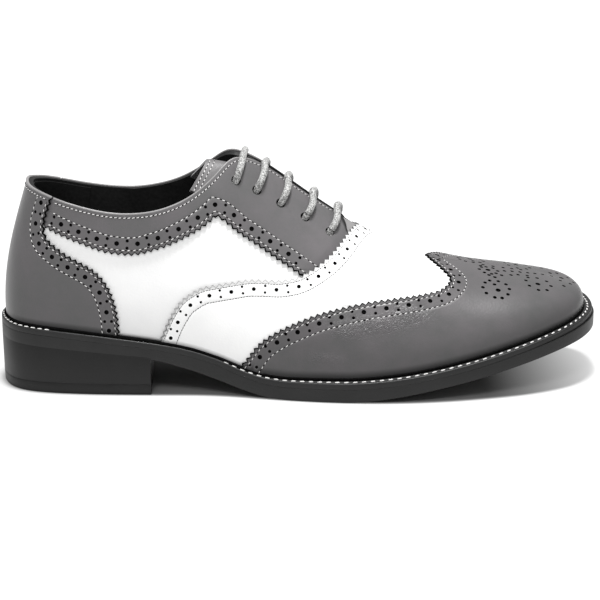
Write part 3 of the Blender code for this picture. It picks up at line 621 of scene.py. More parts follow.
# lower edge of the band and of the facing: section, share of the height
BAND_EDGE = np.array([
    (2.15, 0.777), (2.40, 0.765), (3.40, 0.705), (4.07, 0.658), (4.50, 0.650), (5.21, 0.691), (5.99, 0.739),
    (6.79, 0.758),
])
FACING_EDGE = np.array([(6.79, 0.758), (7.59, 0.610), (8.57, 0.530), (9.42, 0.484)])
UNDER_VAMP = np.array([
    (9.42, 0.484), (9.95, 0.505), (10.48, 0.60), (10.86, 0.716), (11.02, 0.79), (11.05, 0.85),
])
EYELETS = np.array([(7.78, 0.854), (8.46, 0.800), (9.17, 0.784), (9.90, 0.785), (10.55, 0.782)])
EYELET = 2.5
GREY = ((0.076, 0.076, 0.076), (0.098, 0.091, 0.095))
# painted light: a lighter copy of the grey leather for the facings and the counter, standing in for the extra
# light they catch
LIT_GREY = ((0.098, 0.098, 0.098), (0.122, 0.114, 0.119))
# tone of the grey leathers' mark: black edge dye, and painted shade where the mark stands for shade
DARK_DYE_AND_SHADE = (0.006, 0.006, 0.006)
CUT_TONES = (0.002, 0.008)
# distances of the grid's lines, the hole rows and the stitch rows from the pinked edge
BAND_ROWS = (0.0, 2.15, 2.75, 3.1, 3.9, 5.9, 7.4, 8.8, 9.1, 9.4, 10.4)
BAND_HOLES = (5.9, 4.05, 7.6)
BAND_SEAMS = (2.75, 9.1)
BAND_GROOVE = 0.16
BAND_INNER = 14
BAND_LIFT = 0.1
BAND_LAP = 0.75
EYELET_PULL = 0.2
CORNER_REACH = 12.0
# sections of the top line over the start of the band, the corner, the edge of the vamp and the front
BAND_TOP = (2.25, 6.85, 8.9, 10.97)
# big holes along their row, from the one at the corner between band and facing
BAND_BIG = np.array((-83.5, -74.0, -64.3, -54.2, -43.9, -33.5, -22.4, -11.3, 0, 10.9, 22.0, 33.1, 44.2))
BAND_PAIR_ENDS = (4.8, 5.7)
CORNER_HOLE = 1.0
HOLE_RADII = (1.2, 0.8, 0.8)
BOTH = (1, -1)


def run_along(points):
    """Length along a path from its start to each of its points."""
    return np.append(0, np.cumsum(np.linalg.norm(np.diff(points, axis=0), axis=1)))


def drawn(table, count=500):
    """Line through (section, share) rows, smooth over its length at 17 mm a section, 75 mm the height."""
    run = run_along(table * (17, 75))
    t = np.linspace(0, run[-1], count)
    return np.stack([through(run, table[:, 0])(t), through(run, table[:, 1])(t)], -1)


def walked(line):
    """Length along a line over the face, in millimetres."""
    return run_along(face(*line.T))


def at_lengths(line, lengths):
    """Places on a line at given lengths along it."""
    run = walked(line)
    return np.stack([np.interp(lengths, run, line[:, 0]), np.interp(lengths, run, line[:, 1])], -1)


def toothed(line):
    """The line cut into half teeth of equal length: tips and valleys by turns."""
    run = walked(line)
    count = 2 * max(1, int(round(run[-1] / TOOTH)))
    return at_lengths(line, np.linspace(0, run[-1], count + 1))


def zigzag(line):
    """Depth of the pinking at each point of a toothed line: none at a tip, a tooth's depth in a valley."""
    return TOOTH_DEEP * (np.arange(len(line)) % 2)


def step_to(s, h, move):
    """Place after a small move over the face: least squares of the move on the face's two tangents."""
    e = 1e-3
    a = (face(s + e, h) - face(s - e, h)) / (2 * e)
    b = (face(s, h + e) - face(s, h - e)) / (2 * e)
    aa, ab, bb = (a * a).sum(-1), (a * b).sum(-1), (b * b).sum(-1)
    p, q = (a * move).sum(-1), (b * move).sum(-1)
    d = aa * bb - ab * ab
    return s + (bb * p - ab * q) / d, h + (aa * q - ab * p) / d


def heading(line):
    """Direction along a line over the face."""
    return unit(np.gradient(face(*line.T), axis=0))


def sideways(line, sign, ends=True, slack=14.0):
    """Direction square to a line over the face, one millimetre long. Where the ends are fitted, it leans
    along the line toward them, and there it keeps the share of the height, at the sole or the top line."""
    s, h = line.T
    t = heading(line)
    w = sign * np.cross(face_normal(s, h), t)
    if not ends:
        return w
    climb_w = step_to(s, h, w)[1] - h
    climb_t = step_to(s, h, t)[1] - h
    run = walked(line)
    lean_by = (-climb_w[0] / climb_t[0] * faded(run / slack)
               - climb_w[-1] / climb_t[-1] * faded((run[-1] - run) / slack))
    return w + lean_by[:, None] * t


def shifted(line, way, distance, steps=4):
    """Line moved over the face by a distance along a way, in short steps kept on the face."""
    s, h = line.T
    distance = np.broadcast_to(np.asarray(distance, float), s.shape)
    for _ in range(steps):
        n = face_normal(s, h)
        go = way - n * (way * n).sum(-1, keepdims=True)
        go = go * (np.linalg.norm(way, axis=-1) / np.linalg.norm(go, axis=-1) * distance / steps)[:, None]
        s, h = step_to(s, h, go)
        h = np.clip(h, 0, 1)
    return np.stack([s, h], -1)


def panel_grid(line, way, rows, far, inner_rows, tooth):
    """Grid of a panel: lines beside its edge at the row distances, the first two zigzag by the tooth
    depth, then straight shares of the way to the far line."""
    border = [shifted(line, way, distance, 3) for distance in (tooth, 0.75 + 0.85 * tooth, rows[1])]
    for gap in np.diff(rows[1:]):
        border.append(shifted(border[-1], way, gap, 2))
    border = np.stack(border, 1)
    share = (np.arange(1, inner_rows + 1) / inner_rows)[:, None]
    rest = border[:, -1:] + share * (far[:, None] - border[:, -1:])
    return np.concatenate([border, rest], 1)


def seam_grooves(grid, rows, seams, deep):
    """Drop of a panel's face under its stitches: a depth on the grid lines nearest to the seams, which are
    one column on from their rows because the teeth take two columns."""
    columns = 1 + np.abs(np.subtract.outer(seams, rows)).argmin(1)
    return -deep * np.isin(np.arange(grid.shape[1]), columns)


def bell(grid, s, h, wide, high):
    """Bell curve over a panel round one place, with a width in sections and in shares of the height."""
    return np.exp(-((grid[..., 0] - s) / wide) ** 2 - ((grid[..., 1] - h) / high) ** 2)


def edge_dye_and_shade(grid, edge, inside, foot=0.0, high=1.0):
    """Dye and painted shade of a panel: dye along the cut edge and on the line inside the teeth, and painted
    shade of the crevice at the welt, fading up from the sole over some millimetres."""
    column = np.zeros(grid.shape[1])
    column[:2] = edge, inside
    return np.maximum(column, foot * faded((above_sole(grid[..., 0], grid[..., 1]) - 1.2) / high))


def on_side(s, half):
    """Section of a place on the outer side (half 1) or of its twin on the inner side (half -1)."""
    return s if half > 0 else AROUND - s


def panel(name, grid, top, dye_and_shade, looks, nodes, halves, thick=PANEL, outline=False, crease=0.0):
    """Closed leather panel on one or both sides of the shoe. Its cut edge takes the second look, and so does
    the rim of its teeth where it is outlined in black dye."""
    s, h = grid[..., 0], grid[..., 1]
    one = cells(*s.shape)
    outside = np.concatenate([on_upper(on_side(s, half), h, top) for half in halves])
    inside = np.concatenate([on_upper(on_side(s, half), h, top - thick) for half in halves])
    faces = [(one if half > 0 else one[:, ::-1]) + k * s.size for k, half in enumerate(halves)]
    points, faces, kind, first = two_faced(outside, inside, np.concatenate(faces))
    marks = {"dye_and_shade": dye_and_shade, "crease": crease + 0 * s}
    marks = {key: np.tile(np.tile(mark.reshape(-1), len(halves))[first], 2) for key, mark in marks.items()}
    rim = (np.arange(len(kind)) % (s.shape[1] - 1) == 0) & (kind == 0) & outline
    return make_piece(name, points, faces, looks, nodes, look_of=(kind == 2) | rim, sharp=35,
                      marks=marks)


def rounded_points(mesh):
    """Points of a mesh, rounded to a thousandth of a millimetre."""
    flat = np.zeros(3 * len(mesh.vertices))
    mesh.vertices.foreach_get("co", flat)
    return np.round(flat.reshape(-1, 3), 6)


def punched(piece, rows, radii, above=1.5, deep=0.7, sides=12, look=1):
    """Holes cut into a piece: one joined set of prisms, taken away from it. Rows hold centres and ways up,
    with a radius for each row. The faces of the prisms carry the given look, so the walls and floors of
    the holes are dark. Points that stay keep their marks."""
    centre, up = (np.concatenate(part) for part in zip(*rows))
    radius = np.repeat(radii, [len(row) for row, _ in rows])
    turn = np.arange(sides) * 2 * np.pi / sides
    right = unit(np.cross(up, (0.0, 0.1, 1.0) + 0 * up))
    fore = np.cross(right, up)
    ring = np.cos(turn)[:, None] * right[:, None] + np.sin(turn)[:, None] * fore[:, None]
    ring = radius[:, None, None] * ring
    points = np.stack([(centre - deep * up)[:, None] + ring, (centre + above * up)[:, None] + ring], 1)
    base = 2 * sides * np.arange(len(centre))[:, None]
    walls = (cells(2, sides, columns_close=True) + base[..., None]).reshape(-1, 4)
    ends = np.concatenate([np.arange(sides) + base, np.arange(2 * sides - 1, sides - 1, -1) + base])
    mesh = bpy.data.meshes.new("punch")
    mesh.from_pydata(place(points.reshape(-1, 3)).tolist(), [], walls.tolist() + ends.tolist())
    for kept in piece.data.materials:
        mesh.materials.append(kept)
    mesh.polygons.foreach_set("material_index", np.full(len(mesh.polygons), look))
    punch = bpy.data.objects.new("punch", mesh)
    bpy.context.scene.collection.objects.link(punch)
    cut = piece.modifiers.new("holes", "BOOLEAN")
    cut.operation = "DIFFERENCE"
    cut.solver = "MANIFOLD"
    cut.object = punch
    bpy.context.view_layer.update()
    result = bpy.data.meshes.new_from_object(piece.evaluated_get(bpy.context.evaluated_depsgraph_get()))
    piece.modifiers.clear()
    old_and_new = np.concatenate([rounded_points(piece.data), rounded_points(result)])
    same = np.unique(old_and_new, axis=0, return_inverse=True)[1].reshape(-1)
    old_count = len(piece.data.vertices)
    for mark in [m.name for m in piece.data.attributes if m.name in ("dye_and_shade", "crease")]:
        values = np.zeros(old_count)
        piece.data.attributes[mark].data.foreach_get("value", values)
        known = np.zeros(same.max() + 1)
        known[same[:old_count]] = values
        if mark in result.attributes:
            result.attributes.remove(result.attributes[mark])
        result.attributes.new(mark, "FLOAT", "POINT").data.foreach_set("value", known[same[old_count:]])
    result.name = piece.name
    piece.data = result
    result.shade_smooth()
    result.set_sharp_from_angle(angle=np.radians(35))
    bpy.data.objects.remove(punch, do_unlink=True)


def between(at):
    """Lengths midway between neighbours."""
    return 0.5 * (at[1:] + at[:-1])


def hole_rows(lines, big_at, pair_at, height, halves):
    """Centres and ways up of the holes along an edge, in three rows: big ones on the first line, and pairs
    of small ones on the other two. Lengths on the first line are carried square across to the others."""
    rows = []
    for line, at in zip(lines, (big_at, pair_at, pair_at)):
        s, h = at_lengths(line, np.interp(at, walked(lines[0]), walked(line))).T
        s = np.concatenate([on_side(s, half) for half in halves])
        h = np.tile(h, len(halves))
        rows.append((on_upper(s, h, height), face_normal(s, h)))
    return rows


def stitch_row(line, height, halves, pitch=2.8, spare=0.6):
    """Centre, way ahead and way up of the stitches along a line, on each of the sides."""
    count = int((walked(line)[-1] - 2 * spare) / pitch)
    at = spare + pitch * (np.arange(count) + 0.5)
    here, on = at_lengths(line, at), at_lengths(line, at + 0.4)
    rows = []
    for half in halves:
        s, h = on_side(here[:, 0], half), here[:, 1]
        ahead = face(on_side(on[:, 0], half), on[:, 1]) - face(s, h)
        rows.append((on_upper(s, h, height), ahead, face_normal(s, h)))
    return tuple(np.concatenate(part) for part in zip(*rows))


def sewn(name, rows, thick=0.4, gap=1.4, look=thread_look, length=1.3):
    """One piece of all the stitches of several rows, with a dark needle pit after each of them."""
    centre, ahead, up = (np.concatenate(part) for part in zip(*rows))
    points, faces = stitches(centre, ahead, up, length, thick, 0.2)
    pits, pit_faces = stitches(centre + gap * unit(ahead) - 0.12 * up, ahead, up, 0.8 * gap, thick + 0.16)
    look_of = np.repeat((0, 1), (len(faces), len(pit_faces)))
    faces = np.concatenate([faces, pit_faces + len(points)])
    points = np.concatenate([points, pits])
    return make_piece(name, points, faces, [look, cut_look], [], look_of=look_of)


grey_look = leather_look("grey_leather", *GREY, DARK_DYE_AND_SHADE)
# painted light: the lighter copy of the grey leather
lit_grey_look = leather_look("grey_leather_painted_light", *LIT_GREY, DARK_DYE_AND_SHADE)
cut_look = flecked_look("cut_edge", *CUT_TONES, dict(Scale=1500.0), Roughness=0.9, Specular_IOR_Level=0.0)[0]

band = toothed(drawn(BAND_EDGE))
rear = toothed(drawn(FACING_EDGE))
hidden = drawn(UNDER_VAMP)
hidden = at_lengths(hidden, np.linspace(0, walked(hidden)[-1], 34))
n_band = len(band)
n_seen = n_band + len(rear) - 1
# at the corner between band and facing both lean to the line that halves it
half_turn = np.tan(0.5 * np.arccos(heading(band)[-1] @ heading(rear)[0]))
band_left = walked(band)[-1] - walked(band)
way_band = sideways(band, 1, False) + half_turn * faded(band_left / CORNER_REACH)[:, None] * heading(band)
way_rear = sideways(rear, 1, False) - half_turn * faded(walked(rear) / CORNER_REACH)[:, None] * heading(rear)
facing_line = np.concatenate([band, rear[1:], hidden[1:]])
facing_way = np.concatenate([way_band[:-1], 0.5 * (way_band[-1:] + way_rear[:1]), way_rear[1:],
                             sideways(hidden, 1, False)[1:]])
tooth = np.where(np.arange(len(facing_line)) < n_seen, zigzag(facing_line), 0.0)
far_s = np.interp(np.arange(len(facing_line)), (0, n_band - 1, n_seen - 1, len(facing_line) - 1), BAND_TOP)
far = np.stack([far_s, np.ones_like(far_s)], -1)
# toward the front the rows turn to the top line, and they close up where the panel is narrow
across = face(*far.T) - face(*facing_line.T)
room = np.linalg.norm(across, axis=1)
count = np.arange(len(facing_line))
front = faded((count[-1] - count) / 9.0)[:, None]
facing_way = facing_way * (1 - front) + front * across / room[:, None]
facing_way = facing_way * np.minimum(1, 0.75 * room / BAND_ROWS[-1])[:, None]
grid = panel_grid(facing_line, facing_way, BAND_ROWS, far, BAND_INNER, tooth)
# the panel sinks under the counter and under the vamp, and is pulled in at the eyelets
under_counter = faded((walked(facing_line) - 2.0) / 4.0)[:, None]
under_front = np.clip((count - n_seen - 1) / 5, 0, 1)[:, None]
beside = np.concatenate([[0.0, 1.0], BAND_ROWS[1:], np.full(BAND_INNER, 30.0)])
pull = sum(bell(grid, s + 0.08, h, wide=0.22, high=0.11) for s, h in EYELETS)
sunk = np.maximum(under_counter, under_front * faded((beside - 3.0) / 4.0))
groove = seam_grooves(grid, BAND_ROWS, BAND_SEAMS, BAND_GROOVE) * (1 - under_front)
top = BAND_LIFT + groove - EYELET_PULL * pull - BAND_LAP * sunk
front_edge = np.where(count > count[-1] - 2, 0.95, 0.0)[:, None]
dye_and_shade = np.maximum(edge_dye_and_shade(grid, edge=0.8, inside=0.2), front_edge)
seen_line, seen_way = facing_line[:n_seen], facing_way[:n_seen]
lines = [shifted(seen_line, seen_way, distance) for distance in BAND_HOLES]
big_at = BAND_BIG + walked(lines[0])[n_band - 1] + CORNER_HOLE
pair_at = np.concatenate([big_at[:1] - BAND_PAIR_ENDS[0], between(big_at), big_at[-1:] + BAND_PAIR_ENDS[1]])
for name, half in (("facing_lateral", 1), ("facing_medial", -1)):
    piece = panel("lace_" + name, grid, top, dye_and_shade, [lit_grey_look, cut_look], [name], [half],
                  outline=True)
    eye = on_side(EYELETS[:, 0], half), EYELETS[:, 1]
    for pierced in (piece, quarters, lining):
        punched(pierced, [(on_upper(*eye, 0.0), face_normal(*eye))], [EYELET], above=3.0, deep=6.0, sides=20)
    punched(piece, hole_rows(lines, big_at, pair_at, BAND_LIFT, [half]), HOLE_RADII)
# the stitches run on a little way under the vamp
past = rear[-1] + np.arange(1, 8)[:, None] * (rear[-1] - rear[-2])
sewn_line = np.concatenate([seen_line[2:], past])
sewn_way = np.concatenate([seen_way[2:], np.repeat(seen_way[-1:], len(past), axis=0)])
rows = [stitch_row(shifted(sewn_line, sewn_way, seam), BAND_LIFT - 0.05, BOTH) for seam in BAND_SEAMS]
sewn("facing_stitching", rows)

# Heel counter
# A grey leather panel wrapped round the back of the heel over the quarters and the band's ends,
# pinked, double stitched and punched along its front edge.
COUNTER_EDGE = np.array([
    (4.28, 0.0), (4.25, 0.15), (4.11, 0.35), (3.80, 0.50), (2.95, 0.633), (2.44, 0.724), (2.33, 0.814),
    (2.36, 0.90), (2.46, 1.0),
])
COUNTER_ROWS = (0.0, 2.15, 2.4, 2.8, 3.6, 5.4, 7.1, 8.5, 8.9, 9.3, 10.2)
COUNTER_HOLES = (5.4, 3.7, 7.1)
COUNTER_SEAMS = (2.3, 8.9)
COUNTER_INNER = 30
COUNTER_LIFT = 0.3
# big holes along their row, from the sole up
COUNTER_BIG = np.array((3.2, 12.8, 23.3, 33.9, 43.8, 53.2, 62.8, 73.2, 84.1))

line = toothed(drawn(COUNTER_EDGE))
way = sideways(line, 1)
heel_line = np.stack([np.zeros(len(line)), np.linspace(0, 1, len(line))], -1)
grid = panel_grid(line, way, COUNTER_ROWS, heel_line, COUNTER_INNER, zigzag(line))
away = np.arange(grid.shape[1]) / (grid.shape[1] - 1)
groove = seam_grooves(grid, COUNTER_ROWS, COUNTER_SEAMS, BAND_GROOVE)
top = COUNTER_LIFT * faded((away - 0.3) / 0.4) + groove + 0 * grid[..., 0]
# painted shade: darker toward the sole and round the back
painted_shade_low_and_back = 0.22 * (1 - grid[..., 1]) + 0.42 * np.exp(-(grid[..., 0] / 1.2) ** 2)
dye_and_shade = np.maximum(edge_dye_and_shade(grid, edge=1.0, inside=0.3, foot=1.0, high=4.5), painted_shade_low_and_back)
counter = panel("counter", grid, top, dye_and_shade, [lit_grey_look, cut_look], ["heel_counter"], BOTH,
                outline=True)
lines = [shifted(line, way, distance) for distance in COUNTER_HOLES]
punched(counter, hole_rows(lines, COUNTER_BIG, between(COUNTER_BIG), COUNTER_LIFT, BOTH), HOLE_RADII)
rows = [stitch_row(shifted(line, way, seam), COUNTER_LIFT - 0.08, BOTH) for seam in COUNTER_SEAMS]
sewn("counter_stitching", rows)

# Collar
# The top line is finished with a thin leather piping, sewn between the panels and the lining. Its pale
# tone paints the highlight on its rounded edge round the heel; along both sides of the throat it is darkened
# to paint the shade there, and it parts where the counter starts.
PIPING = 0.6
PIPING_HEEL = 0.75
PIPING_SIDES = 12
# from this section on, the piping is darkened to paint the shade along the throat
PIPING_SHADE_FROM = 8.3
# pale tones that paint the highlight on the piping's rounded edge
PALE_HIGHLIGHT = ((0.19, 0.185, 0.185), (0.24, 0.235, 0.235))
COLLAR_SEAM = 1.7


def tube(rings):
    """Closed tube of rings of points, a fan of triangles at each end."""
    rows, n = rings.shape[:2]
    k = np.arange(1, n - 1)
    fan = np.stack([0 * k, k, k + 1, k + 1], 1)
    walls = cells(rows, n, columns_close=True)
    return rings.reshape(-1, 3), np.concatenate([walls, fan, fan[:, ::-1] + (rows - 1) * n])


def piping(start, stop, radius):
    """Profile carried along the top line: a round of the radius at the outer edge of the wall. Out is
    the face's normal, up runs along the wall. Gives points, faces and the painted shade along the throat."""
    s = np.linspace(start, stop, max(24, int(abs(stop - start) * 14)))
    out = face_normal(s, 0.98)
    up = unit(face(s, 1.0) - face(s, 0.97))
    turn = np.arange(PIPING_SIDES) * 2 * np.pi / PIPING_SIDES
    across = -0.4 + radius * np.cos(turn)
    high = 0.05 + radius * np.sin(turn)
    rings = face(s, 1.0)[:, None] + across[:, None] * out[:, None] + high[:, None] * up[:, None]
    return *tube(rings), np.repeat(1 - faded((fold(s) - PIPING_SHADE_FROM) / 0.9), PIPING_SIDES)


piping_look = leather_look("pale_piping", *PALE_HIGHLIGHT, DARK_DYE_AND_SHADE)
beads = [piping(-2.42, 2.42, PIPING_HEEL), piping(2.48, 10.95, PIPING), piping(-10.95, -2.48, PIPING)]
points, faces, dye_and_shade = zip(*beads)
starts = np.cumsum([0] + [len(bead) for bead in points])
faces = np.concatenate([part + start for part, start in zip(faces, starts)])
make_piece("collar_piping", np.concatenate(points), faces, [piping_look], [], sharp=60,
           marks={"dye_and_shade": np.concatenate(dye_and_shade)})
rows = []
for start, stop, height in ((0.0, 2.3, 0.26), (2.5, 10.85, 0.12)):
    edge = np.linspace(start, stop, 300)
    line = np.stack([edge, np.ones_like(edge)], -1)
    rows.append(stitch_row(shifted(line, sideways(line, -1, False), COLLAR_SEAM, 3), height, BOTH, pitch=2.2))
sewn("collar_stitching", rows, thick=0.36, gap=1.1)

# Vamp
# White leather over the forefoot, laid on the facings' front edges and held by two rows of stitches
# along its own pinked and punched edge. Its front runs on under the wing cap.
VAMP_EDGE = np.array([
    (5.03, 0.0), (5.30, 0.21), (5.64, 0.35), (6.23, 0.424), (7.00, 0.430), (7.87, 0.431), (8.62, 0.438),
    (9.27, 0.467), (9.86, 0.532), (10.33, 0.615), (10.69, 0.716), (10.98, 0.832), (11.17, 0.92), (11.34, 1.0),
])
WING_EDGE = np.array([
    (7.05, 0.0), (7.87, 0.173), (8.52, 0.238), (9.19, 0.289), (10.22, 0.368), (11.16, 0.441), (12.24, 0.506),
    (12.71, 0.549), (13.01, 0.587), (13.27, 0.663), (13.32, 0.702), (13.21, 0.794), (13.03, 0.925),
    (12.98, 1.0),
])
WING_LAP = 4.0
VAMP_ROWS = (0.0, 2.1, 2.3, 2.6, 3.3, 4.9, 6.5, 8.1, 8.5, 8.9, 9.8)
VAMP_HOLES = (4.9, 3.25, 6.55)
VAMP_RADII = (1.0, 0.66, 0.66)
VAMP_SEAMS = (2.2, 8.5)
VAMP_GROOVE = 0.14
VAMP_INNER = 22
VAMP_LIFT = 0.3
VAMP_LAP = 0.65
# big holes along their row: the first ones from the sole, then the start and the spacing of the others
VAMP_FOOT_BIG = (4.0, 12.9, 23.7, 34.4)
VAMP_BIG = (45.4, 11.25)
# soft troughs and ridges behind the toe: section, share of the height, depth
VAMP_FOLDS = ((11.45, 0.62, -0.3), (11.85, 0.62, 0.15), (12.3, 0.68, -0.22), (10.9, 0.52, -0.2))
VAMP_CUT = (0.10, 0.22)
# painted shade: the vamp's thread is dark grey, standing in for white thread in the shade of its groove
DARK_THREAD_SHADE = (0.10, 0.17)

line = toothed(drawn(VAMP_EDGE))
way = sideways(line, -1)
wing_line = toothed(drawn(WING_EDGE))
wing_way = sideways(wing_line, -1)
under = shifted(wing_line, wing_way, WING_LAP, 3)
under = at_lengths(under, np.linspace(0, walked(under)[-1], len(line)))
under[0, 1] = 0.0
under[-1, 1] = 1.0
grid = panel_grid(line, way, VAMP_ROWS, under, VAMP_INNER, zigzag(line))
away = np.arange(grid.shape[1]) / (grid.shape[1] - 1)
groove = seam_grooves(grid, VAMP_ROWS, VAMP_SEAMS, VAMP_GROOVE)
top = VAMP_LIFT - VAMP_LAP * (1 - faded((away - 0.6) / 0.4)) + groove + 0 * grid[..., 0]
top = top + sum(deep * bell(grid, s, h, wide=0.22, high=0.12) for s, h, deep in VAMP_FOLDS)
high_up = above_sole(grid[..., 0], grid[..., 1])
# a darkened cut edge, and painted shade: the crevice line at the welt, a soft darkening up to 30 mm above the
# sole, and teeth darkened toward the sole
dye_and_shade = np.maximum(edge_dye_and_shade(grid, edge=0.7, inside=0.1, foot=1.0, high=1.5), 0.09 * faded(high_up / 30.0))
dye_and_shade[:, :2] = np.maximum(dye_and_shade[:, :2], (1.0, 0.75) * faded(high_up[:, :2] / 60.0))
vamp_cut = flecked_look("vamp_cut_edge", *VAMP_CUT, dict(Scale=1500.0), Roughness=0.8)[0]
vamp = panel("vamp_panel", grid, top, dye_and_shade, [white_look, vamp_cut, cut_look], ["vamp"], BOTH)
lines = [shifted(line, way, distance) for distance in VAMP_HOLES]
total = walked(lines[0])[-1]
big_at = np.concatenate([VAMP_FOOT_BIG, np.arange(VAMP_BIG[0], total - 2, VAMP_BIG[1])])
pair_at = np.append(between(big_at), total - 1.5)
punched(vamp, hole_rows(lines, big_at, pair_at, VAMP_LIFT, BOTH), VAMP_RADII, look=2)
shaded_thread_look = flecked_look("vamp_thread_painted_shade", *DARK_THREAD_SHADE, dict(Scale=900.0), Roughness=0.6)[0]
rows = [stitch_row(shifted(line, way, seam), VAMP_LIFT - 0.1, BOTH) for seam in VAMP_SEAMS]
sewn("vamp_stitching", rows, look=shaded_thread_look)

# Wing cap
# The grey wing that gives the shoe its name: a toe cap whose sides sweep back along the sole, sewn over
# the vamp. Its edge is pinked, double stitched and punched, and a punched medallion fills the toe.
WING_ROWS = (0.0, 2.15, 2.4, 2.7, 3.1, 3.6, 5.0, 6.7, 8.2, 8.7, 9.1, 9.5, 10.4)
WING_HOLES = (5.0, 3.4, 6.7)
WING_SEAMS = (2.7, 9.1)
WING_GROOVE = 0.18
WING_INNER = 40
WING_LIFT = 0.3
WING_RAISE = 0.4
WING_THICK = 1.1
# big holes along their row: start and spacing, and the pair of small ones at each end
WING_BIG = (9.9, 11.45)
WING_PAIR_ENDS = (4.2, 3.0)
# soft troughs and ridges where the foot bends: section, share of the height, depth
WING_FOLDS = ((10.35, 0.27, -0.2), (10.7, 0.28, 0.1), (11.1, 0.30, -0.25), (11.5, 0.32, 0.12),
              (11.9, 0.34, -0.2), (12.6, 0.42, -0.15))
# patches of small wrinkles: section, share of the height, half width, half height, strength
WRINKLES = ((10.6, 0.28, 0.5, 0.035, 26.0), (11.4, 0.325, 0.6, 0.04, 34.0), (12.2, 0.385, 0.4, 0.045, 34.0),
            (9.9, 0.13, 0.5, 0.025, 24.0))
# medallion, along and across the toe's axis from its rear hole. Rosettes: middle hole, middle of the ring,
# half length and half width of the ring, count, first angle
AXIS_START = np.array((249.9, -1.9))
AXIS_WAY = np.array((0.9635, 0.2680))
ROSETTES = (
    ((-2.6, 18.9), (-3.0, 17.6), (6.8, 6.6), 10, 12.0),
    ((21.3, 14.4), (21.7, 13.4), (6.4, 7.0), 8, 22.5),
    ((0.0, 0.0), (0.0, 0.0), (4.6, 4.6), 8, 8.0),
    ((41.1, 0.0), (41.1, 0.0), (5.8, 8.4), 7, 25.7),
)
AXIS_HOLES = np.array((8.6, 12.9, 17.5, 21.7, 26.0, 30.4))
SIDE_HOLES = np.array([
    (-2.1, 5.8), (0.1, 8.1), (4.9, 6.1), (9.9, 5.1), (14.9, 4.5), (19.8, 4.4), (-2.9, 14.4), (35.8, 13.9),
])
ROSETTE_HOLE = 1.35
MEDALLION_HOLE = 0.98


def find_place(xy):
    """Places on the toe under points of the plan: the nearest of a fine grid."""
    s, h = np.meshgrid(np.linspace(12, 26, 281), np.linspace(0.2, 0.999, 121), indexing="ij")
    plan = face(s, h)[..., :2].reshape(-1, 2)
    k = np.argmin(np.linalg.norm(plan[None] - xy[:, None], axis=-1), axis=1)
    return s.reshape(-1)[k], h.reshape(-1)[k]


def toe_plan(spots):
    """Plan points from distances along and across the toe's axis, the outer side positive."""
    return AXIS_START + spots[:, :1] * AXIS_WAY + spots[:, 1:] * (AXIS_WAY[1], -AXIS_WAY[0])


line, way = wing_line, wing_way
turn = int(0.70 * len(line))
foot = np.stack([np.linspace(WING_EDGE[0, 0], TOE, 400), np.zeros(400)], -1)
foot = at_lengths(foot, np.linspace(12.0, walked(foot)[-1], turn + 1))
toe_line = np.stack([np.full(200, float(TOE)), np.linspace(0, 1, 200)], -1)
toe_line = at_lengths(toe_line, np.linspace(0, walked(toe_line)[-1], len(line) - turn))
far = np.concatenate([foot, toe_line[1:]])
grid = panel_grid(line, way, WING_ROWS, far, WING_INNER, zigzag(line))
away = np.arange(grid.shape[1]) / (grid.shape[1] - 1)
groove = seam_grooves(grid, WING_ROWS, WING_SEAMS, WING_GROOVE)
top = WING_LIFT + WING_RAISE * faded((away - 0.2) / 0.35) + groove + 0 * grid[..., 0]
top = top + sum(deep * bell(grid, s, h, wide=0.2, high=0.1) for s, h, deep in WING_FOLDS)
crease = sum(strong * bell(grid, s, h, wide, high) for s, h, wide, high, strong in WRINKLES)
# darker toward the sole, and more so from the ball to the toe
shade = 0.12 + 0.14 * (1 - faded((grid[..., 0] - 13) / 3))
shade = shade * faded(above_sole(grid[..., 0], grid[..., 1]) / 26.0)
dye_and_shade = np.maximum(edge_dye_and_shade(grid, edge=1.0, inside=0.3, foot=1.0, high=4.5), shade)
wing = panel("wing_cap_panel", grid, top, dye_and_shade, [grey_look, cut_look], ["wing_cap"], BOTH,
             thick=WING_THICK, outline=True, crease=crease)
lines = [shifted(line, way, distance) for distance in WING_HOLES]
total = walked(lines[0])[-1]
big_at = np.arange(WING_BIG[0], total - 2, WING_BIG[1])
pair_at = np.concatenate([[WING_PAIR_ENDS[0]], between(big_at), [total - WING_PAIR_ENDS[1]]])
holes = hole_rows(lines, big_at, pair_at, WING_LIFT + 0.3, BOTH)
pairs = ROSETTES[:2]
centres = np.array([row[0] for row in ROSETTES] + [(row[0][0], -row[0][1]) for row in pairs])
dots = [np.stack([AXIS_HOLES, 0 * AXIS_HOLES], -1), SIDE_HOLES, SIDE_HOLES * (1, -1)]
for side, rosettes in ((1, ROSETTES), (-1, pairs)):
    for _, middle, size, number, first_angle in rosettes:
        a = np.radians(first_angle) + np.arange(number) * 2 * np.pi / number
        dots.append((np.array(middle) + np.stack([np.cos(a), np.sin(a)], -1) * size) * (1, side))
for group in (centres, np.concatenate(dots)):
    s, h = find_place(toe_plan(group))
    holes.append((on_upper(s, h, 0.45), face_normal(s, h)))
punched(wing, holes, (*HOLE_RADII, ROSETTE_HOLE, MEDALLION_HOLE), deep=0.75)
rows = [stitch_row(shifted(line, way, seam), WING_LIFT + 0.25, BOTH) for seam in WING_SEAMS]
sewn("wing_stitching", rows)

# Shade strip at the welt
# A thin black strip pressed into the joint between the upper and the welt. It covers the foot of
# every panel all round the shoe, and its black paints the shade in the crevice there.
SHADE_STRIP_HIGH = 1.3
SHADE_STRIP_OUT = 0.85
SHADE_STRIP_IN = -0.6
# section of the strip: height up the wall, distance out from the face
SHADE_STRIP = ((0.0, SHADE_STRIP_IN), (0.0, 0.65), (0.7, SHADE_STRIP_OUT), (1.1, 0.7), (SHADE_STRIP_HIGH, 0.2), (SHADE_STRIP_HIGH, SHADE_STRIP_IN))

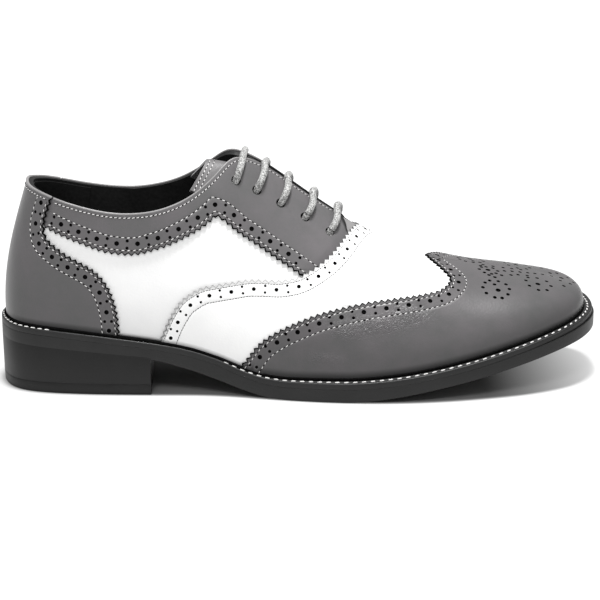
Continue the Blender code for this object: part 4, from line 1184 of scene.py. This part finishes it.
points, faces = hooped([on_upper(sole_steps, high / (3 * rise(sole_steps)), out) for high, out in SHADE_STRIP])
make_piece("welt_crevice_shade_strip", points, faces, [cut_look], [], sharp=60)

# Tongue
# A grey leather flap under the lacing, sewn in below the throat. Its free end stands out behind the
# facings, is ridged along its middle and has two rows of stitches along its edge.
TONGUE_END = (106.0, -1.3, 113.0)
TONGUE_HALF = 18.6
TONGUE_FALL = 14.4
TONGUE_TILT = np.radians(34.5)
TONGUE_RIDGE = 0.2
TONGUE_THICK = 1.8
TONGUE_UNDER = -8.1
TONGUE_SEAMS = (1.7, 3.9)
TONGUE_STITCH = 2.6
TONGUE_GREY = ((0.115, 0.111, 0.113), (0.14, 0.136, 0.138))
ROOT_STEPS = 14

u = np.linspace(-1, 1, 41)
drop = np.sqrt(u * u + TONGUE_RIDGE ** 2) - TONGUE_RIDGE
drop = TONGUE_FALL * drop / drop[0]
free_end = np.stack([TONGUE_END[0] - drop * np.sin(TONGUE_TILT), TONGUE_END[1] + TONGUE_HALF * u,
                     TONGUE_END[2] - drop * np.cos(TONGUE_TILT)], -1)
down, wide = np.meshgrid(np.linspace(8.1, 11.9, 24), np.abs(u), indexing="ij")
share = 1 - 0.30 * wide
outer_half, inner_half = (on_upper(on_side(down, half), share, TONGUE_UNDER) for half in BOTH)
under = np.where(u[:, None] < 0, outer_half, inner_half)
under[:, u == 0] = 0.5 * (outer_half + inner_half)[:, u == 0]
q = np.linspace(0, 1, 12)[:-1, None, None]
middle = 0.5 * (free_end + under[0]) + (0, 0, 0.6)
lead = (1 - q) ** 2 * free_end + 2 * q * (1 - q) * middle + q * q * under[0]
tongue_face = np.concatenate([lead, under])
out = unit(np.cross(np.gradient(tongue_face, axis=1), np.gradient(tongue_face, axis=0)))
out = out * np.sign(out[..., 2:3])
points, faces, _, _ = two_faced(tongue_face, tongue_face - TONGUE_THICK * out, cells(*tongue_face.shape[:2]))
tongue_look = leather_look("pale_grey_leather", *TONGUE_GREY, DARK_DYE_AND_SHADE)
make_piece("tongue_flap", points, faces, [tongue_look], ["tongue"], sharp=50,
           marks={"dye_and_shade": np.zeros(len(points))})
s, h = np.meshgrid(np.linspace(10.55, 11.3, ROOT_STEPS), np.linspace(0.76, 1.0, ROOT_STEPS), indexing="ij")
outside, inside = (np.concatenate([on_upper(on_side(s, half), h, height) for half in BOTH])
                   for height in (-0.8, -1.3))
one = cells(*s.shape)
points, faces, kind, _ = two_faced(outside, inside, np.concatenate([one, one[:, ::-1] + s.size]))
make_piece("tongue_root", points, faces, [piping_look, cut_look], [], look_of=kind == 2,
           sharp=50, marks={"dye_and_shade": np.zeros(len(points))})


def sampled(line, run, at):
    """Points of a path, or directions along it, at given lengths of its run."""
    return np.stack([np.interp(at, run, c) for c in line.T], -1)


rows = []
fall_line = lead[-1] - lead[0]
for back in TONGUE_SEAMS:
    seam = free_end + back * unit(fall_line)
    run = run_along(seam)
    at = 1.0 + TONGUE_STITCH * np.arange(int((run[-1] - 2) / TONGUE_STITCH))
    centre = sampled(seam, run, at)
    ahead = sampled(seam, run, at + 0.4) - centre
    up = unit(sampled(out[1], run, at))
    rows.append((centre + 0.05 * up, ahead, up))
sewn("tongue_stitching", rows)

# Lace
# One round waxed cotton cord, grey flecked with light and dark yarn, laced in five straight bars. It runs
# under the facings from eyelet to eyelet, and both ends are tucked away inside at the top and the foot.
LACE_RADIUS = 1.75
LACE_BEND = 3.4
LACE_SIDES = 16
LACE_OVER = 0.15 + LACE_RADIUS
LACE_INSIDE = LINING_IN - 0.2 - LACE_RADIUS
# for each bar from the top: lean to the front in sections, power of its bow, lift at the crossing
LACE_REACH = np.array((0.42, 0.39, 0.35, 0.30, 0.23))
LACE_BOW = np.array((1.5, 1.9, 2.5, 3.0, 3.4))
LACE_LIFT = np.array((-0.2, -0.2, 0.2, 1.2, 1.6))
# along half a bar: share of the way from eyelet to crossing, height over the facing
LACE_SHARES = np.array((0.16, 0.46, 0.58, 0.7, 0.85, 1.0))
LACE_HEIGHTS = LACE_OVER + np.array((0.2, 0.1, 0.0, 0.0, 0.0, -0.1))
YARN = ((0.07, 0.07, 0.068), (0.50, 0.50, 0.492))


def lace_bar(half, reach):
    """Half of each bar from inside its eyelet to the crossing: out through the eyelet, then in an arc that
    leans to the front by a reach times 1 less (1 - t) to the power of its bow, while it climbs evenly, t from
    0 to 1, and lifts off by a little times t squared."""
    eye_s, eye_h = EYELETS[:, :1], EYELETS[:, 1:]
    t = LACE_SHARES
    s = eye_s - 0.02 + reach[:, None] * (1 - (1 - t) ** LACE_BOW[:, None])
    h = eye_h + (1 - eye_h) * t
    up = LACE_HEIGHTS + LACE_LIFT[:, None] * t ** 2
    s = np.concatenate([s[:, :1] - 0.15, s], 1)
    h = np.concatenate([h[:, :1] - 0.06, h], 1)
    up = np.concatenate([np.full((len(up), 1), LACE_INSIDE), up], 1)
    return on_upper(on_side(s, half), h, up)


def rounded(corners, bend, steps):
    """Path through the corners, each rounded by a parabola that starts a bend's length before it."""
    a, b, c = corners[:-2], corners[1:-1], corners[2:]
    la = np.linalg.norm(a - b, axis=1, keepdims=True)
    lc = np.linalg.norm(c - b, axis=1, keepdims=True)
    p0 = (b + (a - b) / la * np.minimum(bend, 0.49 * la))[:, None]
    p2 = (b + (c - b) / lc * np.minimum(bend, 0.49 * lc))[:, None]
    q = np.linspace(0, 1, steps)[:, None]
    bends = (1 - q) ** 2 * p0 + 2 * q * (1 - q) * b[:, None] + q * q * p2
    return np.concatenate([corners[:1], bends.reshape(-1, 3), corners[-1:]])


bars = np.concatenate([lace_bar(1, LACE_REACH), lace_bar(-1, LACE_REACH + 0.08)[:, ::-1]], 1)
bars[1::2] = bars[1::2, ::-1]
path = rounded(bars.reshape(-1, 3), LACE_BEND, 9)
run = run_along(path)
lace_length = run[-1]
path = sampled(path, run, np.linspace(0, lace_length, int(lace_length / 0.7)))
ahead = unit(np.gradient(path, axis=0))
one = unit(np.cross(ahead, (0.55, 0.0, 0.83)))
two = np.cross(ahead, one)
turn = np.arange(LACE_SIDES) * 2 * np.pi / LACE_SIDES
rings = np.cos(turn)[:, None] * one[:, None] + np.sin(turn)[:, None] * two[:, None]
points, faces = tube(path[:, None] + LACE_RADIUS * rings)
lace_look, tree, shader, yarn = flecked_look("waxed_cord", *YARN, dict(Scale=1500.0, Roughness=0.7), low=0.40,
                                             high=0.60, Roughness=0.6, Sheen_Weight=0.15)
bumped(tree, shader, yarn, strength=0.5, distance=0.0004)
lace = make_piece("lace_cord", points, faces, [lace_look], ["lace"], sharp=70)

# Floor, light and camera
# A white table under soft studio light: a small square lamp overhead, a wider one in front above the
# camera and an even white surround. The table glows, but not under the sole and less below the lifted toe,
# which paints the shoe's shadow on it. The camera is on the outer side.
FLOOR_COLOUR = (0.27, 0.27, 0.27, 1.0)
FLOOR_GLOW = (0.66, 1.0)
FLOOR_REACH = 8000.0
# rings of the floor: millimetres outward from the outline of the sole
FLOOR_RINGS = (-14.0, -8.0, -5.0, -3.0, -1.5, 0.0, 1.5, 3.0, 5.0, 9.0, 20.0, 60.0)
SURROUND = 0.45
CAMERA = Vector((-0.03426, -0.96579, 0.3072))
AIM = Vector((-0.00063, -0.00281, 0.0400))

rings = np.array([sole_ring(-far_out, lambda x: 0) for far_out in FLOOR_RINGS])
away = rings[-1] - MIDDLE
# painted shadow: share of the floor's glow, none under the sole, some below the lifted toe
far_out = np.array(FLOOR_RINGS)[:, None]
under_toe = np.clip((rings[..., 0] - MIDDLE[0] - 92.0) / 60.0, 0, 1) ** 1.5 * 0.85
glow_with_painted_shadow = np.maximum(1 - faded((far_out + 3.0) / 6.0), under_toe)
glow_with_painted_shadow = np.concatenate([glow_with_painted_shadow, np.ones((1, EDGE_STEPS))])
rings = np.concatenate([rings, [MIDDLE + FLOOR_REACH * unit(away)]])
floor_faces = np.concatenate([cells(*rings.shape[:2], columns_close=True), side_to_side(EDGE_STEPS)])
floor_mesh = bpy.data.meshes.new("floor")
floor_mesh.from_pydata(place(rings.reshape(-1, 3)).tolist(), [], floor_faces.tolist())
open_mark = floor_mesh.attributes.new("open", "FLOAT", "POINT")
open_mark.data.foreach_set("value", glow_with_painted_shadow.reshape(-1).astype(np.float32))
floor_look, tree, shader = new_look("white_table", Base_Color=FLOOR_COLOUR, Roughness=0.9,
                                    Specular_IOR_Level=0.1, Emission_Strength=1.0)
where = add(tree, "ShaderNodeTexCoord").outputs["Object"]
distance = add(tree, "ShaderNodeVectorMath", [(0, where)], operation="LENGTH").outputs["Value"]
glow = add(tree, "ShaderNodeAttribute", attribute_name="open").outputs["Fac"]
far_glow = mixed(tree, ramp(tree, distance, 0.2, 1.0), *FLOOR_GLOW)
tree.links.new(mixed(tree, glow, 0.0, far_glow), shader.inputs["Emission Color"])
floor_mesh.materials.append(floor_look)
floor = bpy.data.objects.new("floor", floor_mesh)
bpy.context.scene.collection.objects.link(floor)


def stand(name, data, spot, target):
    """Lamp or camera at a spot, turned to a target."""
    thing = bpy.data.objects.new(name, data)
    bpy.context.scene.collection.objects.link(thing)
    thing.location = spot
    thing.rotation_mode = "QUATERNION"
    thing.rotation_quaternion = (Vector(target) - Vector(spot)).to_track_quat("-Z", "Y")
    return thing


for name, spot, target, wide, watts in (("overhead", (0.05, -0.05, 1.5), (0, 0, 0), 0.3, 33),
                                        ("key", (-0.2, -1.35, 1.5), (0, 0, 0.03), 0.5, 10)):
    lamp = bpy.data.lights.new(name, "AREA")
    lamp.shape = "SQUARE"
    lamp.size = wide
    lamp.energy = watts
    stand(name, lamp, spot, target)
world = bpy.data.worlds.new("studio")
world.use_nodes = True
world.node_tree.nodes["Background"].inputs["Color"].default_value = (1, 1, 1, 1)
world.node_tree.nodes["Background"].inputs["Strength"].default_value = SURROUND
bpy.context.scene.world = world

lens = bpy.data.cameras.new("camera")
lens.lens = 117.05
lens.sensor_width = 36
lens.shift_x = 0.00117
lens.clip_start = 0.05
lens.clip_end = 60
bpy.context.scene.camera = stand("camera", lens, CAMERA, AIM)
bpy.context.scene.view_settings.view_transform = "Standard"

bpy.context.view_layer.update()
